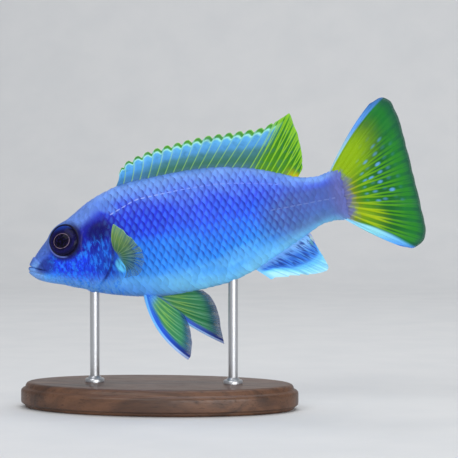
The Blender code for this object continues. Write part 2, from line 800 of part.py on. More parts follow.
def make_base(material, parts):
    """An oval base with a softened edge, its underside at z = 0."""
    bpy.ops.mesh.primitive_cylinder_add(vertices=48, radius=0.5, depth=BASE_HEIGHT)
    base = bpy.context.active_object
    base.name = "stand_base"
    base.location.z = BASE_HEIGHT / 2
    for vert in base.data.vertices:
        vert.co.x *= BASE_LENGTH
        vert.co.y *= BASE_WIDTH
    bevel = base.modifiers.new("edge", "BEVEL")
    bevel.width = BASE_EDGE
    bevel.segments = 2
    bevel.angle_limit = math.radians(60)
    for collection in list(base.users_collection):
        collection.objects.unlink(base)
    parts.objects.link(base)
    base.data.materials.append(material)
    base.data.shade_smooth()
    base.data.set_sharp_from_angle(angle=math.radians(35))


def make_rod(name, x, body_room, material, parts):
    """A round rod from the base up to the belly, its top cut to the belly's shape."""
    foot = BASE_HEIGHT + GAP
    top = SNOUT_HEIGHT
    bpy.ops.mesh.primitive_cylinder_add(vertices=16, radius=ROD_RADIUS, depth=top - foot)
    rod = bpy.context.active_object
    rod.name = name
    rod.location = (x, 0.0, (top + foot) / 2)
    for collection in list(rod.users_collection):
        collection.objects.unlink(rod)
    parts.objects.link(rod)
    combine(rod, body_room, "DIFFERENCE")
    keep_largest(rod)
    rod.data.materials.clear()
    rod.data.materials.append(material)
    rod.data.shade_smooth()
    rod.data.set_sharp_from_angle(angle=math.radians(40))


def fish_materials():
    return {
        "body": principled("blue_skin", (0.08, 0.16, 0.78), 0.35),
        "head": principled("blue_head_skin", (0.05, 0.12, 0.62), 0.35),
        "lips": principled("pale_lip_skin", (0.22, 0.40, 0.85), 0.40),
        "eye": principled("dark_eye", (0.01, 0.01, 0.03), 0.08),
        "dorsal": principled("blue_green_fin", (0.22, 0.50, 0.45), 0.40),
        "caudal": principled("yellow_fin", (0.62, 0.68, 0.06), 0.40),
        "anal": principled("pale_blue_fin", (0.20, 0.55, 0.90), 0.40),
        "pelvic": principled("olive_fin", (0.20, 0.42, 0.20), 0.40),
        "pectoral": principled("olive_clear_fin", (0.30, 0.45, 0.25), 0.40),
    }


def make_fish(pose, parts, cutters):
    materials = fish_materials()
    whole = body_loft("whole_body", 0.0, cutters)
    join_all(whole, make_lips(cutters))
    head_block = cutter(side_prism("head_block", head_outline(), cutters))
    core = cutter(body_loft("gill_core", -GILL_COVER_DEPTH, cutters, GILL_SPAN))
    jaw_outline = real((MOUTH_FRONT, MOUTH_CORNER) + JAW_REAR_EDGE)
    make_head(whole, head_block, jaw_outline, pose, materials["head"], parts, cutters)
    make_lower_jaw(whole, jaw_outline, pose, materials["lips"], parts, cutters)
    for side in (-1, 1):
        make_gill_cover(side, head_block, core, pose, materials["head"], parts, cutters)
        make_eye(side, pose, materials["eye"], parts)
    for tool in (whole, head_block, core):
        bpy.data.objects.remove(tool, do_unlink=True)
    make_trunk(pose, materials["body"], parts, cutters)
    make_tail_stalk(pose, materials["body"], parts, cutters)
    make_dorsal_fin(pose, materials["dorsal"], parts)
    make_anal_fin(pose, materials["anal"], parts)
    make_caudal_fin(pose, materials["caudal"], parts)
    body_room = cutter(body_loft("body_room", GAP, cutters))
    make_paired_fins(body_room, pose, materials, parts)
    return body_room


def make_stand(body_room, pose, parts):
    """The base and its rods. The body with its gap, bent and posed, shapes the rod tops."""
    wood = principled("dark_wood", (0.055, 0.028, 0.014), 0.45)
    steel = principled("brushed_steel", (0.55, 0.56, 0.58), 0.30, 1.0)
    for vert in body_room.data.vertices:
        vert.co = bent(vert.co)
    body_room.parent = pose
    make_base(wood, parts)
    make_rod("stand_rod_front", ROD_FRONT_X, body_room, steel, parts)
    make_rod("stand_rod_rear", ROD_REAR_X, body_room, steel, parts)


def main():
    clear_scene()
    parts = new_collection("acei_cichlid")
    cutters = new_collection("cutters")
    pose = make_pose()
    body_room = make_fish(pose, parts, cutters)
    make_stand(body_room, pose, parts)


main()
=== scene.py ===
import math

import bpy
import numpy as np
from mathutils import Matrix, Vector


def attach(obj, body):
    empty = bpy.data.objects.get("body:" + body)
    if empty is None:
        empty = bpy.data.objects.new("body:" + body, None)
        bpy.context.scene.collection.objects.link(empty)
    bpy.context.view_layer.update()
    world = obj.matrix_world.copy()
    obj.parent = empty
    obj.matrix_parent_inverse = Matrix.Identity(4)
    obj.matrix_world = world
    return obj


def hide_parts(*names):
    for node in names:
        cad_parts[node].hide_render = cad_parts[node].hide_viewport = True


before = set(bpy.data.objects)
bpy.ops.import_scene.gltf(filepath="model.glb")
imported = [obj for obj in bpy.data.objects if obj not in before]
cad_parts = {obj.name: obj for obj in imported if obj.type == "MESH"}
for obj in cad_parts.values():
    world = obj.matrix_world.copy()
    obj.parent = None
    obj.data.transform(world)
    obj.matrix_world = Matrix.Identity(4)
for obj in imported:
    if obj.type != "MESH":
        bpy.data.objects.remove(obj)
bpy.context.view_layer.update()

# The skin: one slippery, close-fitting skin from the lips to the root of the tail fin, cast in
# resin and painted. Lips, nostrils, gill openings and eye sockets are formed in it, and the
# scales and fins are set on it. It follows the solids' own outline, a scale's depth inside them.

STANDARD_LENGTH = 0.100
NOSE_DOWN = math.radians(12.0)
SNOUT = Vector((-0.0411, 0.0, 0.0445))
BEND_START = 0.55 * STANDARD_LENGTH
BEND_RADIUS = 0.285
MILLIMETRE = 0.001

# Outlines as fractions of the standard length, at stations from the snout back.
BACK = (
    (-0.009, -0.018), (-0.004, -0.007), (0.004, 0.006), (0.025, 0.030), (0.044, 0.048), (0.066, 0.067),
    (0.086, 0.086), (0.108, 0.101), (0.148, 0.120), (0.190, 0.143), (0.237, 0.165), (0.284, 0.180),
    (0.328, 0.190), (0.385, 0.194), (0.480, 0.194), (0.584, 0.190), (0.670, 0.178), (0.760, 0.154),
    (0.830, 0.126), (0.885, 0.102), (0.925, 0.091), (0.955, 0.089), (0.980, 0.094), (1.030, 0.104),
)
BELLY = (
    (-0.009, -0.020), (-0.005, -0.027), (0.002, -0.035), (0.017, -0.049), (0.052, -0.066), (0.099, -0.083),
    (0.151, -0.107), (0.229, -0.138), (0.338, -0.168), (0.430, -0.181), (0.520, -0.183), (0.600, -0.180),
    (0.690, -0.160), (0.770, -0.129), (0.848, -0.097), (0.889, -0.079), (0.949, -0.058), (0.978, -0.057),
    (1.030, -0.068),
)
HALF_WIDTH = (
    (-0.009, 0.004), (-0.005, 0.012), (0.002, 0.019), (0.012, 0.0245), (0.030, 0.031), (0.055, 0.039),
    (0.090, 0.052), (0.131, 0.064), (0.190, 0.076), (0.250, 0.084), (0.310, 0.088), (0.400, 0.086),
    (0.500, 0.080), (0.600, 0.070), (0.700, 0.056), (0.800, 0.0425), (0.885, 0.031), (0.950, 0.022),
    (0.990, 0.015), (1.030, 0.012),
)
WIDEST_LEVEL = (
    (-0.009, -0.019), (0.050, -0.010), (0.131, 0.000), (0.300, 0.010), (0.600, 0.005), (1.030, 0.012),
)
TOP_FULLNESS = (
    (-0.009, 2.0), (0.060, 2.1), (0.131, 2.6), (0.210, 2.1), (0.330, 1.85), (0.900, 1.8), (1.030, 2.0),
)
BELLY_FULLNESS = 2.15


def real(points):
    """Fractions of the standard length as metres."""
    return [tuple(value * STANDARD_LENGTH for value in point) for point in points]


def smooth_function(points):
    """A smooth function through (position, value) points that never swings past them."""
    places, values = np.array(points, float).T
    slopes = np.diff(values) / np.diff(places)
    before, after = slopes[:-1], slopes[1:]
    both = np.where(before * after > 0, before + after, 1.0)
    inner = np.where(before * after > 0, 2 * before * after / both, 0.0)
    tangents = np.concatenate([slopes[:1], inner, slopes[-1:]])

    def value_at(place):
        place = np.clip(place, places[0], places[-1])
        k = np.clip(np.searchsorted(places, place, side="right") - 1, 0, len(places) - 2)
        span = places[k + 1] - places[k]
        t = (place - places[k]) / span
        start = (1 + 2 * t) * (1 - t) ** 2 * values[k] + t * (1 - t) ** 2 * span * tangents[k]
        end = t * t * (3 - 2 * t) * values[k + 1] + t * t * (t - 1) * span * tangents[k + 1]
        return start + end

    return value_at


def ease(value, low, high):
    """0 at low, 1 at high, with a soft start and end."""
    t = np.clip((value - low) / (high - low), 0.0, 1.0)
    return t * t * (3 - 2 * t)


def bump(value, middle, width):
    """1 at the middle, fading to 0 either side over about twice the width."""
    return np.exp(-(((value - middle) / width) ** 2))


def vectors(*parts):
    """Values side by side as an array of vectors."""
    return np.stack(np.broadcast_arrays(*parts), axis=-1)


def unit(vector):
    """Vectors brought to length 1."""
    return vector / np.maximum(np.linalg.norm(vector, axis=-1, keepdims=True), 1e-12)


back = smooth_function(real(BACK))
belly = smooth_function(real(BELLY))
half_width = smooth_function(real(HALF_WIDTH))
widest_level = smooth_function(real(WIDEST_LEVEL))
top_fullness = smooth_function([(x * STANDARD_LENGTH, n) for x, n in TOP_FULLNESS])


def body_point(x, angle, grow=0.0):
    """Points of the body. Angle 0 is the back, a quarter turn the left side."""
    up, out = np.cos(angle), np.sin(angle)
    level = widest_level(x)
    fullness = np.where(up >= 0, top_fullness(x), BELLY_FULLNESS)
    reach = np.where(up >= 0, back(x) - level, level - belly(x)) + grow
    z = level + np.sign(up) * np.abs(up) ** (2 / fullness) * reach
    y = -np.sign(out) * np.abs(out) ** (2 / fullness) * (half_width(x) + grow)
    return vectors(x, y, z)


def half_width_at(x, z):
    """Half the width of the body at a station and height."""
    level = widest_level(x)
    fullness = np.where(z >= level, top_fullness(x), BELLY_FULLNESS)
    reach = np.where(z >= level, back(x) - level, level - belly(x))
    share = np.minimum(np.abs(z - level) / reach, 1.0)
    return half_width(x) * (1 - share**fullness) ** (1 / fullness)


def height_share(x, z):
    """How high a point lies in the body, from 0 at the belly to 1 at the back."""
    return (z - belly(x)) / (back(x) - belly(x))


def posed(points):
    """Places of the level, straight fish as they are on the stand: tail swung to -Y, nose down."""
    x, y, z = points[..., 0], points[..., 1], points[..., 2]
    turn = np.maximum(x - BEND_START, 0.0) / BEND_RADIUS
    along = np.where(turn > 0, BEND_START + (BEND_RADIUS + y) * np.sin(turn), x)
    across = np.where(turn > 0, y * np.cos(turn) - BEND_RADIUS * (1 - np.cos(turn)), y)
    cos, sin = math.cos(NOSE_DOWN), math.sin(NOSE_DOWN)
    return vectors(along * cos - z * sin, across, along * sin + z * cos) + np.array(SNOUT)


# The gill cover's free edge, as station for each height, and the groove in front of it.
GILL_EDGE = (
    (-0.300, 0.150), (-0.135, 0.165), (-0.114, 0.200), (-0.085, 0.240), (-0.052, 0.268), (-0.010, 0.284),
    (0.030, 0.287), (0.070, 0.280), (0.110, 0.268), (0.170, 0.258), (0.300, 0.250),
)
GILL_TOP, GILL_FADE = 0.0088, 0.0012
GILL_RISE, GILL_STEP = 0.00030, 0.00050
GILL_OPENING_LENGTH = 0.0016
CHEEK_GROOVE = (
    (-0.110, 0.150), (-0.088, 0.160), (-0.050, 0.178), (0.000, 0.190), (0.040, 0.195), (0.085, 0.215),
)
MOUTH_FRONT, MOUTH_CORNER = (-0.0030, 0.0012), (0.0055, -0.0027)
# The fold behind the upper lip, as station for each height, in metres.
LIP_FOLD = (
    (-0.0030, 0.0056), (-0.0020, 0.0046), (-0.0001, 0.0040), (0.0017, 0.0028), (0.0030, 0.0018),
    (0.006, 0.0016),
)
EYE_PLACE = (0.0134, 0.0057)
EYE_RADIUS = 0.0048
EYE_SUNK = 0.00045
EYE_FACING = Vector((-0.20, -1.0, 0.24)).normalized()
SOCKET_RADIUS = 0.97 * EYE_RADIUS
SOCKET_DEPTH, SOCKET_WALL = 0.0012, 0.0007
# How far the eye shapes the skin: in front of and behind its centre, round it, and where it hugs it.
EYE_DEPTH_REACH, EYE_ROUND_REACH = 0.0045, 0.004
HUG_START, HUG_END = 0.0001, 0.0026
HUG_LEVEL = 0.00002
NOSTRIL_PLACE, NOSTRIL_RADIUS = (0.0058, 0.0031), 0.00050
SCALE_ROOM, SCALE_DIP = 0.00042, 0.00040

gill_edge = smooth_function(real(GILL_EDGE))
cheek_groove = smooth_function(real(CHEEK_GROOVE))
lip_fold = smooth_function(LIP_FOLD)


def mouth_height(x):
    """The height of the mouth's line at a station."""
    (x0, z0), (x1, z1) = MOUTH_FRONT, MOUTH_CORNER
    return z0 + (x - x0) * (z1 - z0) / (x1 - x0)


def lips(x, z):
    """Rise of the lips: the mouth's line, a full lip above and below it, and the fold behind them."""
    above = z - mouth_height(x)
    ahead = 1 - ease(x, MOUTH_CORNER[0] - 0.0012, MOUTH_CORNER[0] + 0.0004)
    line = -0.00065 * bump(above, 0.0, 0.00016) * ahead
    upper_room = np.maximum(lip_fold(z) - x, 0.0)
    upper = 0.00040 * ease(above, 0.0, 0.0005) * ease(upper_room, 0.0, 0.0006)
    fold = -0.00038 * bump(x, lip_fold(z), 0.00026) * ease(above, 0.0, 0.0006)
    lower = 0.00034 * bump(above, -0.00075, 0.00055) * ahead * (above < 0)
    crease = -0.00020 * bump(above, -0.0017, 0.00030) * ahead
    fold *= ease(z, -0.0032, -0.0020) * (1 - 0.75 * ease(z, 0.0002, 0.0016))
    return line + upper * (above > 0) + fold + lower + crease


def gill_shown(z):
    """1 where the gill cover has a free edge, 0 above it on the nape."""
    return 1 - ease(z, GILL_TOP - GILL_FADE, GILL_TOP + GILL_FADE)


def head_rise(x, z):
    """Rise of the gill cover and cheek over the plain body, in front of the gill opening."""
    cover = GILL_RISE * ease(x, gill_edge(z) - 0.0075, gill_edge(z) - 0.0010) * gill_shown(z)
    groove_x = cheek_groove(z)
    low = ease(z, -0.0105, -0.0085) * (1 - ease(z, 0.0068, 0.0085))
    groove = -0.00026 * bump(x, groove_x, 0.00060) * low
    ridge = 0.00016 * bump(x, groove_x - 0.0012, 0.0009) * low
    return cover + groove + ridge


def scaled_share(x, z):
    """How far the skin lies under scales: 0 on the snout, about half on the cheek, 1 on the flank."""
    nape = ease(x, 0.0150, 0.0240) * ease(z, 0.0070, 0.0100)
    cheek = 0.45 * ease(x, 0.0095, 0.0130) * (1 - ease(z, 0.0060, 0.0090))
    flank = ease(x, gill_edge(z) - 0.0002, gill_edge(z) + 0.0002)
    return np.maximum(np.maximum(nape, cheek), flank)


def eye_centre(side):
    """Centre of an eye and the way it faces. Side is -1 for the left and 1 for the right."""
    x, z = EYE_PLACE
    facing = np.array((EYE_FACING.x, -side * EYE_FACING.y, EYE_FACING.z))
    return np.array((x, side * float(half_width_at(x, z)), z)) - facing * EYE_SUNK, facing


def eye_offsets(points, side):
    """How far points lie out along an eye's axis, and their vector off it with its length."""
    centre, facing = eye_centre(side)
    off = points - centre
    axial = off @ facing
    flat = off - axial[..., None] * facing
    return axial, flat, np.linalg.norm(flat, axis=-1)


def near_eye(points, axial, radius, side):
    """Whether points lie where an eye shapes the skin."""
    near = (np.abs(axial) < EYE_DEPTH_REACH) & (radius < SOCKET_RADIUS + EYE_ROUND_REACH)
    return near & (points[..., 1] * side > 0)


def hug_share(points, radius, side):
    """How far the skin rises to hug the eyeball: 1 at the socket's rim, 0 away from it."""
    share = 1 - ease(radius, SOCKET_RADIUS + HUG_START, SOCKET_RADIUS + HUG_END)
    return share * ease(points[..., 1] * side, 0.0004, 0.0022)


def hug_eye(points, side):
    """Lifts the scales round an eye with the skin, and lets them run out under it at the rim."""
    axial, _, radius = eye_offsets(points, side)
    share = hug_share(points, radius, side) * near_eye(points, axial, radius, side)
    lift = (np.maximum(axial, HUG_LEVEL) - axial - SCALE_DIP) * share
    return points + lift[..., None] * eye_centre(side)[1]


def sink_eye_socket(points, side):
    """Turns the skin in at an eye: a clean round rim that hugs the eyeball, and a bowl behind it."""
    centre, facing = eye_centre(side)
    axial, flat, radius = eye_offsets(points, side)
    near = near_eye(points, axial, radius, side)
    snap = near & (np.abs(radius - SOCKET_RADIUS) < 0.00014)
    target = np.where(snap, SOCKET_RADIUS, radius)
    flat = flat * (target / np.maximum(radius, 1e-9))[..., None]
    lifted = axial + (np.maximum(axial, HUG_LEVEL) - axial) * hug_share(points, target, side)
    lifted += 0.00016 * bump(target, SOCKET_RADIUS + 0.00022, 0.00025)
    bowl = -SOCKET_DEPTH * ease(SOCKET_RADIUS - target, 0.0, SOCKET_WALL)
    inside = target < SOCKET_RADIUS - 1e-6
    wall = lifted * ease(target, SOCKET_RADIUS - SOCKET_WALL, SOCKET_RADIUS)
    height = np.where(inside, wall + bowl, lifted)
    moved = centre + flat + height[..., None] * facing
    return np.where(near[..., None], moved, points)


def eye_places(points):
    """How far points lie behind, above and away from the eye on their side, in eye radii."""
    found = np.full(points.shape, 9.0)
    for side in (-1, 1):
        _, flat, away = eye_offsets(points, side)
        place = vectors(flat[..., 0], flat[..., 2], away) / EYE_RADIUS
        found = np.where((points[..., 1] * side > 0)[..., None], place, found)
    return found


def outward(points):
    """Unit normals of a grid of points, pointing away from the fish's middle."""
    along, around = np.gradient(points, axis=0), np.gradient(points, axis=1)
    around[:, 0] = around[:, -1] = points[:, 1] - points[:, -2]
    normal = unit(np.cross(along, around))
    middle = vectors(points[..., 0], 0.0, widest_level(points[..., 0]))
    inwards = np.sum(normal * (points - middle), axis=-1) < 0
    return np.where(inwards[..., None], -normal, normal)


SNOUT_END, STALK_END = -0.009, 0.985
EDGE_STATION, EDGE_REACH = 0.250, 0.170
SKIN_SEGMENTS = 216


def skin_stations():
    """Stations of the skin's rings, close together at the lips, the eye and the gill opening."""
    nose = SNOUT_END + 0.034 * (1 - np.cos(np.linspace(0.0, math.pi / 2, 40)))
    head = np.linspace(0.0266, 0.2480, 142)
    edge = np.array([0.2492, 0.2500, 0.2504, 0.2512, 0.2524])
    shoulder = np.linspace(0.2550, 0.3300, 34)
    rest = np.linspace(0.3355, STALK_END, 118)
    return np.concatenate([nose, head, edge, shoulder, rest]) * STANDARD_LENGTH


def gill_crossings(angles):
    """The station at which the line at each angle meets the gill cover's edge."""
    crossing = np.full_like(angles, EDGE_STATION * STANDARD_LENGTH)
    for _ in range(30):
        crossing = 0.5 * crossing + 0.5 * gill_edge(body_point(crossing, angles)[:, 2])
    return crossing


def nostril_rise(points, side):
    """A nostril's small pit, with a faint rim."""
    x, z = NOSTRIL_PLACE
    apart = np.linalg.norm(points - np.array((x, side * float(half_width_at(x, z)), z)), axis=-1)
    return -0.00060 * bump(apart, 0.0, NOSTRIL_RADIUS) + 0.00010 * bump(apart, 0.0009, 0.0003)


def skin_rise(plain, behind, past):
    """Rise of the skin over the plain body, from how far past the gill opening each point is."""
    x, z = plain[..., 0], plain[..., 2]
    throat = ease(np.abs(plain[..., 1]), 0.0008, 0.0022)
    opening = -GILL_STEP * np.exp(-past / GILL_OPENING_LENGTH) * gill_shown(z) * throat
    rise = np.where(behind, opening, head_rise(x, z) * throat)
    room = np.where(behind, 1.0, scaled_share(x, z))
    rise = rise - SCALE_ROOM * room * ease(x, 0.0095, 0.0125) + lips(x, z)
    for side in (-1, 1):
        rise += nostril_rise(plain, side)
    return rise


def skin_points():
    """The skin as a grid of rings, one of them along the gill cover's edge."""
    angles = np.linspace(0.0, 2 * math.pi, SKIN_SEGMENTS + 1)
    crossing = gill_crossings(angles)
    stations = skin_stations()[:, None]
    away = (stations / STANDARD_LENGTH - EDGE_STATION) / EDGE_REACH
    window = np.where(np.abs(away) < 1, 0.5 + 0.5 * np.cos(math.pi * away), 0.0)
    x = stations + window * (crossing - EDGE_STATION * STANDARD_LENGTH)
    plain = body_point(x, np.broadcast_to(angles, x.shape))
    behind = stations > (EDGE_STATION + 0.0002) * STANDARD_LENGTH
    rise = skin_rise(plain, behind, np.maximum(x - crossing, 0.0))
    points = plain + outward(plain) * rise[..., None]
    for side in (-1, 1):
        points = sink_eye_socket(points, side)
    points[0] = points[0].mean(axis=0)
    points[-1, :, 1] = 0.0
    return points


def grid_piece(name, points):
    """A grid primitive as a new piece, its vertices moved to an array of rows of points."""
    rows, columns = points.shape[:2]
    bpy.ops.object.select_all(action="DESELECT")
    bpy.ops.mesh.primitive_grid_add(x_subdivisions=columns - 1, y_subdivisions=rows - 1, size=1.0)
    piece = bpy.context.active_object
    piece.name = piece.data.name = name
    piece.data.vertices.foreach_set("co", points.reshape(-1))
    piece.data.uv_layers.remove(piece.data.uv_layers[0])
    piece.data.update()
    return piece


def give_attribute(piece, name, values):
    """Stores a vector for each vertex, for the materials to read."""
    attribute = piece.data.attributes.new(name, "FLOAT_VECTOR", "POINT")
    attribute.data.foreach_set("vector", np.ascontiguousarray(values, dtype=np.float32).reshape(-1))


def pick(piece):
    """Makes a piece the active one and the only one selected."""
    bpy.ops.object.select_all(action="DESELECT")
    piece.select_set(True)
    bpy.context.view_layer.objects.active = piece


def close_up(piece, distance=0.00002):
    """Merges the piece's seams and poles, and turns its faces outwards."""
    pick(piece)
    bpy.ops.object.mode_set(mode="EDIT")
    bpy.ops.mesh.select_all(action="SELECT")
    bpy.ops.mesh.remove_doubles(threshold=distance)
    bpy.ops.mesh.normals_make_consistent(inside=False)
    bpy.ops.object.mode_set(mode="OBJECT")


def shade(piece, degrees=60.0):
    """Smooth shading that keeps creases sharper than the angle."""
    pick(piece)
    bpy.ops.object.shade_smooth_by_angle(angle=math.radians(degrees))


def fish_place(points):
    """Station and height share of points of the level fish, and how far behind the gill opening they lie."""
    x, z = points[..., 0], points[..., 2]
    return vectors(x / STANDARD_LENGTH, height_share(x, z), (x - gill_edge(z)) / STANDARD_LENGTH)


skin_level = skin_points()
skin = grid_piece("skin", posed(skin_level))
give_attribute(skin, "fish_place", fish_place(skin_level))
give_attribute(skin, "eye_place", eye_places(skin_level))
close_up(skin)
shade(skin, 50.0)

# The body's paint: thin glazes over a pale ground, deep violet blue along the upper side, azure
# below it and sky blue on the belly, under a clear wet coat. Skin and scales share its markings.


def paint(red, green, blue):
    """A colour given from 0 to 255 in each light, as the shaders take it."""
    light = [value / 255 for value in (red, green, blue)]
    return (*[v / 12.92 if v <= 0.04045 else ((v + 0.055) / 1.055) ** 2.4 for v in light], 1.0)


def is_link(value):
    """Whether a value comes from another shader node."""
    return isinstance(value, bpy.types.NodeSocket)


def set_inputs(node, inputs):
    """Links or sets each named input of a shader node."""
    for name, value in inputs.items():
        if is_link(value):
            node.id_data.links.new(value, node.inputs[name])
        else:
            node.inputs[name].default_value = value


def add_node(source, kind, inputs=None, **settings):
    """A shader node with its settings and inputs, in the same tree as the source, a node or a link."""
    made = source.id_data.nodes.new("ShaderNode" + kind)
    for name, value in settings.items():
        setattr(made, name, value)
    set_inputs(made, inputs or {})
    return made


def over(colour, second, share=1.0, blend="MIX"):
    """The second colour over the first, by a share from 0 to 1. Each is a link or three lights."""
    first, second = [value if is_link(value) else paint(*value) for value in (colour, second)]
    source = share if is_link(share) else colour
    inputs = {0: share, 6: first, 7: second}
    return add_node(source, "Mix", inputs, data_type="RGBA", blend_type=blend).outputs[2]


def math_node(operation, first, second=0.0):
    """Arithmetic on a link, with a second link or a number."""
    return add_node(first, "Math", {0: first, 1: second}, operation=operation).outputs[0]


def product(first, *others):
    """A link times each of the others in turn."""
    for other in others:
        first = math_node("MULTIPLY", first, other)
    return first


def soft(value, low, high, start=0.0, end=1.0):
    """A value taken from low and high to start and end, with a soft change."""
    inputs = {"Value": value, "From Min": low, "From Max": high, "To Min": start, "To Max": end}
    return add_node(value, "MapRange", inputs, interpolation_type="SMOOTHSTEP").outputs["Result"]


def ramp(value, stops, kind="EASE"):
    """A colour ramp through (place, colour) stops."""
    made = add_node(value, "ValToRGB", {"Fac": value})
    elements = made.color_ramp.elements
    made.color_ramp.interpolation = kind
    while len(elements) < len(stops):
        elements.new(0.5)
    for element, (place, colour) in zip(elements, stops):
        element.position = place
        element.color = colour
    return made.outputs["Color"]


def tones(*rows):
    """Rows of a place and three lights as the stops of a ramp."""
    return [(place, paint(red, green, blue)) for place, red, green, blue in rows]


def noise(place, scale, detail=2.0, roughness=0.5, distortion=0.0):
    """Cloudy noise from 0 to 1, laid out by a place."""
    made = add_node(place, "TexNoise", {"Vector": place, "Scale": scale, "Detail": detail})
    set_inputs(made, {"Roughness": roughness, "Distortion": distortion})
    return made.outputs["Fac"]


def attribute(source, name):
    """A stored attribute, as its vector and its three parts."""
    vector = add_node(source, "Attribute", attribute_name=name).outputs["Vector"]
    parts = add_node(vector, "SeparateXYZ", {"Vector": vector}).outputs
    return vector, parts["X"], parts["Y"], parts["Z"]


def object_place(source):
    """The place on the piece itself, in metres."""
    return add_node(source, "TexCoord").outputs["Object"]


def mapped(place, kind="POINT", **inputs):
    """A place moved, turned and scaled by a Mapping node."""
    return add_node(place, "Mapping", {"Vector": place, **inputs}, vector_type=kind).outputs["Vector"]


def zone(place, centre, radii, turn=0.0):
    """1 inside an oval patch of the side, fading to 0 at its edge. Centre and radii are fractions."""
    rotation = (0.0, 0.0, math.radians(turn))
    turned = mapped(place, "TEXTURE", Location=(*centre, 0.0), Rotation=rotation, Scale=(*radii, 1000.0))
    return add_node(turned, "TexGradient", {"Vector": turned}, gradient_type="SPHERICAL").outputs["Fac"]


def dimmed(colour, lightness, share=1.0):
    """A colour made darker or lighter by a factor."""
    grey = add_node(colour, "CombineColor", {0: lightness, 1: lightness, 2: lightness}).outputs[0]
    return over(colour, grey, share, "MULTIPLY")


def bumps(height, strength, distance):
    """A normal for the small bumps of a height."""
    inputs = {"Strength": strength, "Distance": distance, "Height": height}
    return add_node(height, "Bump", inputs).outputs["Normal"]


def new_material(name):
    """A Principled material and its shader."""
    material = bpy.data.materials.new(name)
    material.use_nodes = True
    return material, material.node_tree.nodes["Principled BSDF"]


BODY_TONES = (
    (0.00, 130, 214, 255), (0.10, 112, 198, 255), (0.26, 42, 148, 255), (0.44, 30, 116, 255),
    (0.58, 34, 86, 252), (0.72, 56, 84, 240), (0.84, 92, 128, 236), (0.95, 118, 160, 236),
    (1.00, 104, 150, 226),
)
# Patches over the body's tones: middle and radii as station and height share, turn, colour, strength.
PATCHES = {
    "lilac_stalk": ((0.93, 0.42), (0.22, 0.52), 0.0, (78, 98, 156), 0.85),
    "violet_shoulder": ((0.34, 0.69), (0.20, 0.22), 0.0, (26, 42, 226), 0.75),
    "azure_side": ((0.40, 0.34), (0.26, 0.20), 0.0, (40, 138, 252), 0.55),
    "forehead": ((0.12, 0.92), (0.17, 0.34), 0.0, (96, 132, 214), 0.90),
    "snout": ((0.03, 0.75), (0.07, 0.50), 0.0, (70, 104, 190), 0.80),
    "cheek": ((0.17, 0.38), (0.16, 0.36), 0.0, (22, 62, 236), 1.00),
    "gill_side": ((0.255, 0.42), (0.06, 0.34), 0.0, (14, 62, 184), 0.90),
    "throat": ((0.17, -0.12), (0.40, 0.40), 0.0, (92, 156, 244), 0.85),
    "lip_pale": ((0.006, 0.36), (0.052, 0.60), 0.0, (112, 160, 230), 1.00),
    "dark_behind_mouth": ((0.055, 0.44), (0.045, 0.24), 0.0, (34, 52, 140), 0.85),
    "dark_temple": ((0.218, 0.630), (0.130, 0.23), -12.0, (20, 22, 158), 0.92),
    "gill_spot": ((0.252, 0.655), (0.052, 0.12), 0.0, (4, 4, 98), 0.95),
    "pale_shoulder": ((0.283, 0.86), (0.030, 0.13), 20.0, (96, 136, 226), 0.80),
    "cyan_base": ((0.301, 0.300), (0.022, 0.085), 0.0, (96, 206, 252), 1.00),
    "tail_root": ((1.065, 0.50), (0.105, 1.20), 0.0, (98, 102, 168), 0.80),
}


def body_colour(source):
    """The body's markings and the painted shade at the gill opening, with the station and the height share
    that they are laid out by.
    """
    place, station, share, behind = attribute(source, "fish_place")
    wander = soft(noise(place, 6.0, 3.0), 0.3, 0.7, -0.05, 0.05)
    colour = ramp(math_node("ADD", share, wander), tones(*BODY_TONES), "LINEAR")
    for centre, radii, turn, tone, strength in PATCHES.values():
        colour = over(colour, tone, soft(zone(place, centre, radii, turn), 0.0, 0.50, 0.0, strength))
    colour = cheek_streaks(colour, place, station, share)
    # A painted shade in a band round the gill cover's free edge, where it overhangs the skin at the gill
    # opening.
    painted_gill_shade = product(soft(behind, -0.006, -0.001), soft(behind, 0.010, 0.002))
    height = product(soft(share, 0.10, 0.22), soft(share, 0.80, 0.70))
    return over(colour, (12, 20, 112), product(painted_gill_shade, height, 0.75)), station, share


def cheek_streaks(colour, place, station, share):
    """Light and dark flecks in upright streaks over the cheek and the gill cover."""
    mottle = noise(mapped(place, Scale=(110.0, 12.0, 30.0)), 1.0, 3.0, 0.6, 0.5)
    cheek = product(soft(station, 0.305, 0.27), soft(station, 0.05, 0.09), soft(share, 0.86, 0.62))
    light = product(soft(mottle, 0.48, 0.62, 0.0, 0.72), cheek, soft(share, 0.66, 0.54))
    colour = over(colour, (36, 132, 250), light)
    dark = product(soft(mottle, 0.47, 0.30, 0.0, 0.60), cheek, soft(share, 0.06, 0.20))
    return over(colour, (18, 28, 150), dark)


def eye_rim(colour):
    """The dark rim of the eye's socket, dusky skin below and behind it, and a pale edge in front."""
    _, behind, above, away = attribute(colour, "eye_place")
    low = soft(math_node("SUBTRACT", behind, above), -1.2, 0.6, 0.35, 1.0)
    colour = over(colour, (14, 14, 78), product(soft(away, 1.48, 1.14, 0.0, 0.95), low))
    colour = over(colour, (10, 10, 40), soft(away, 1.13, 1.05))
    front = soft(math_node("ADD", behind, above), -0.9, -1.3)
    return over(colour, (104, 120, 196), product(soft(away, 1.02, 1.08), soft(away, 1.18, 1.11), front, 0.7))


def pored(colour, station):
    """The head's fine dark pores over a colour. They are gone by the shoulder."""
    pores = soft(noise(object_place(colour), 1500.0), 0.30, 0.62, 0.84, 1.06)
    return dimmed(colour, pores, soft(station, 0.27, 0.17))


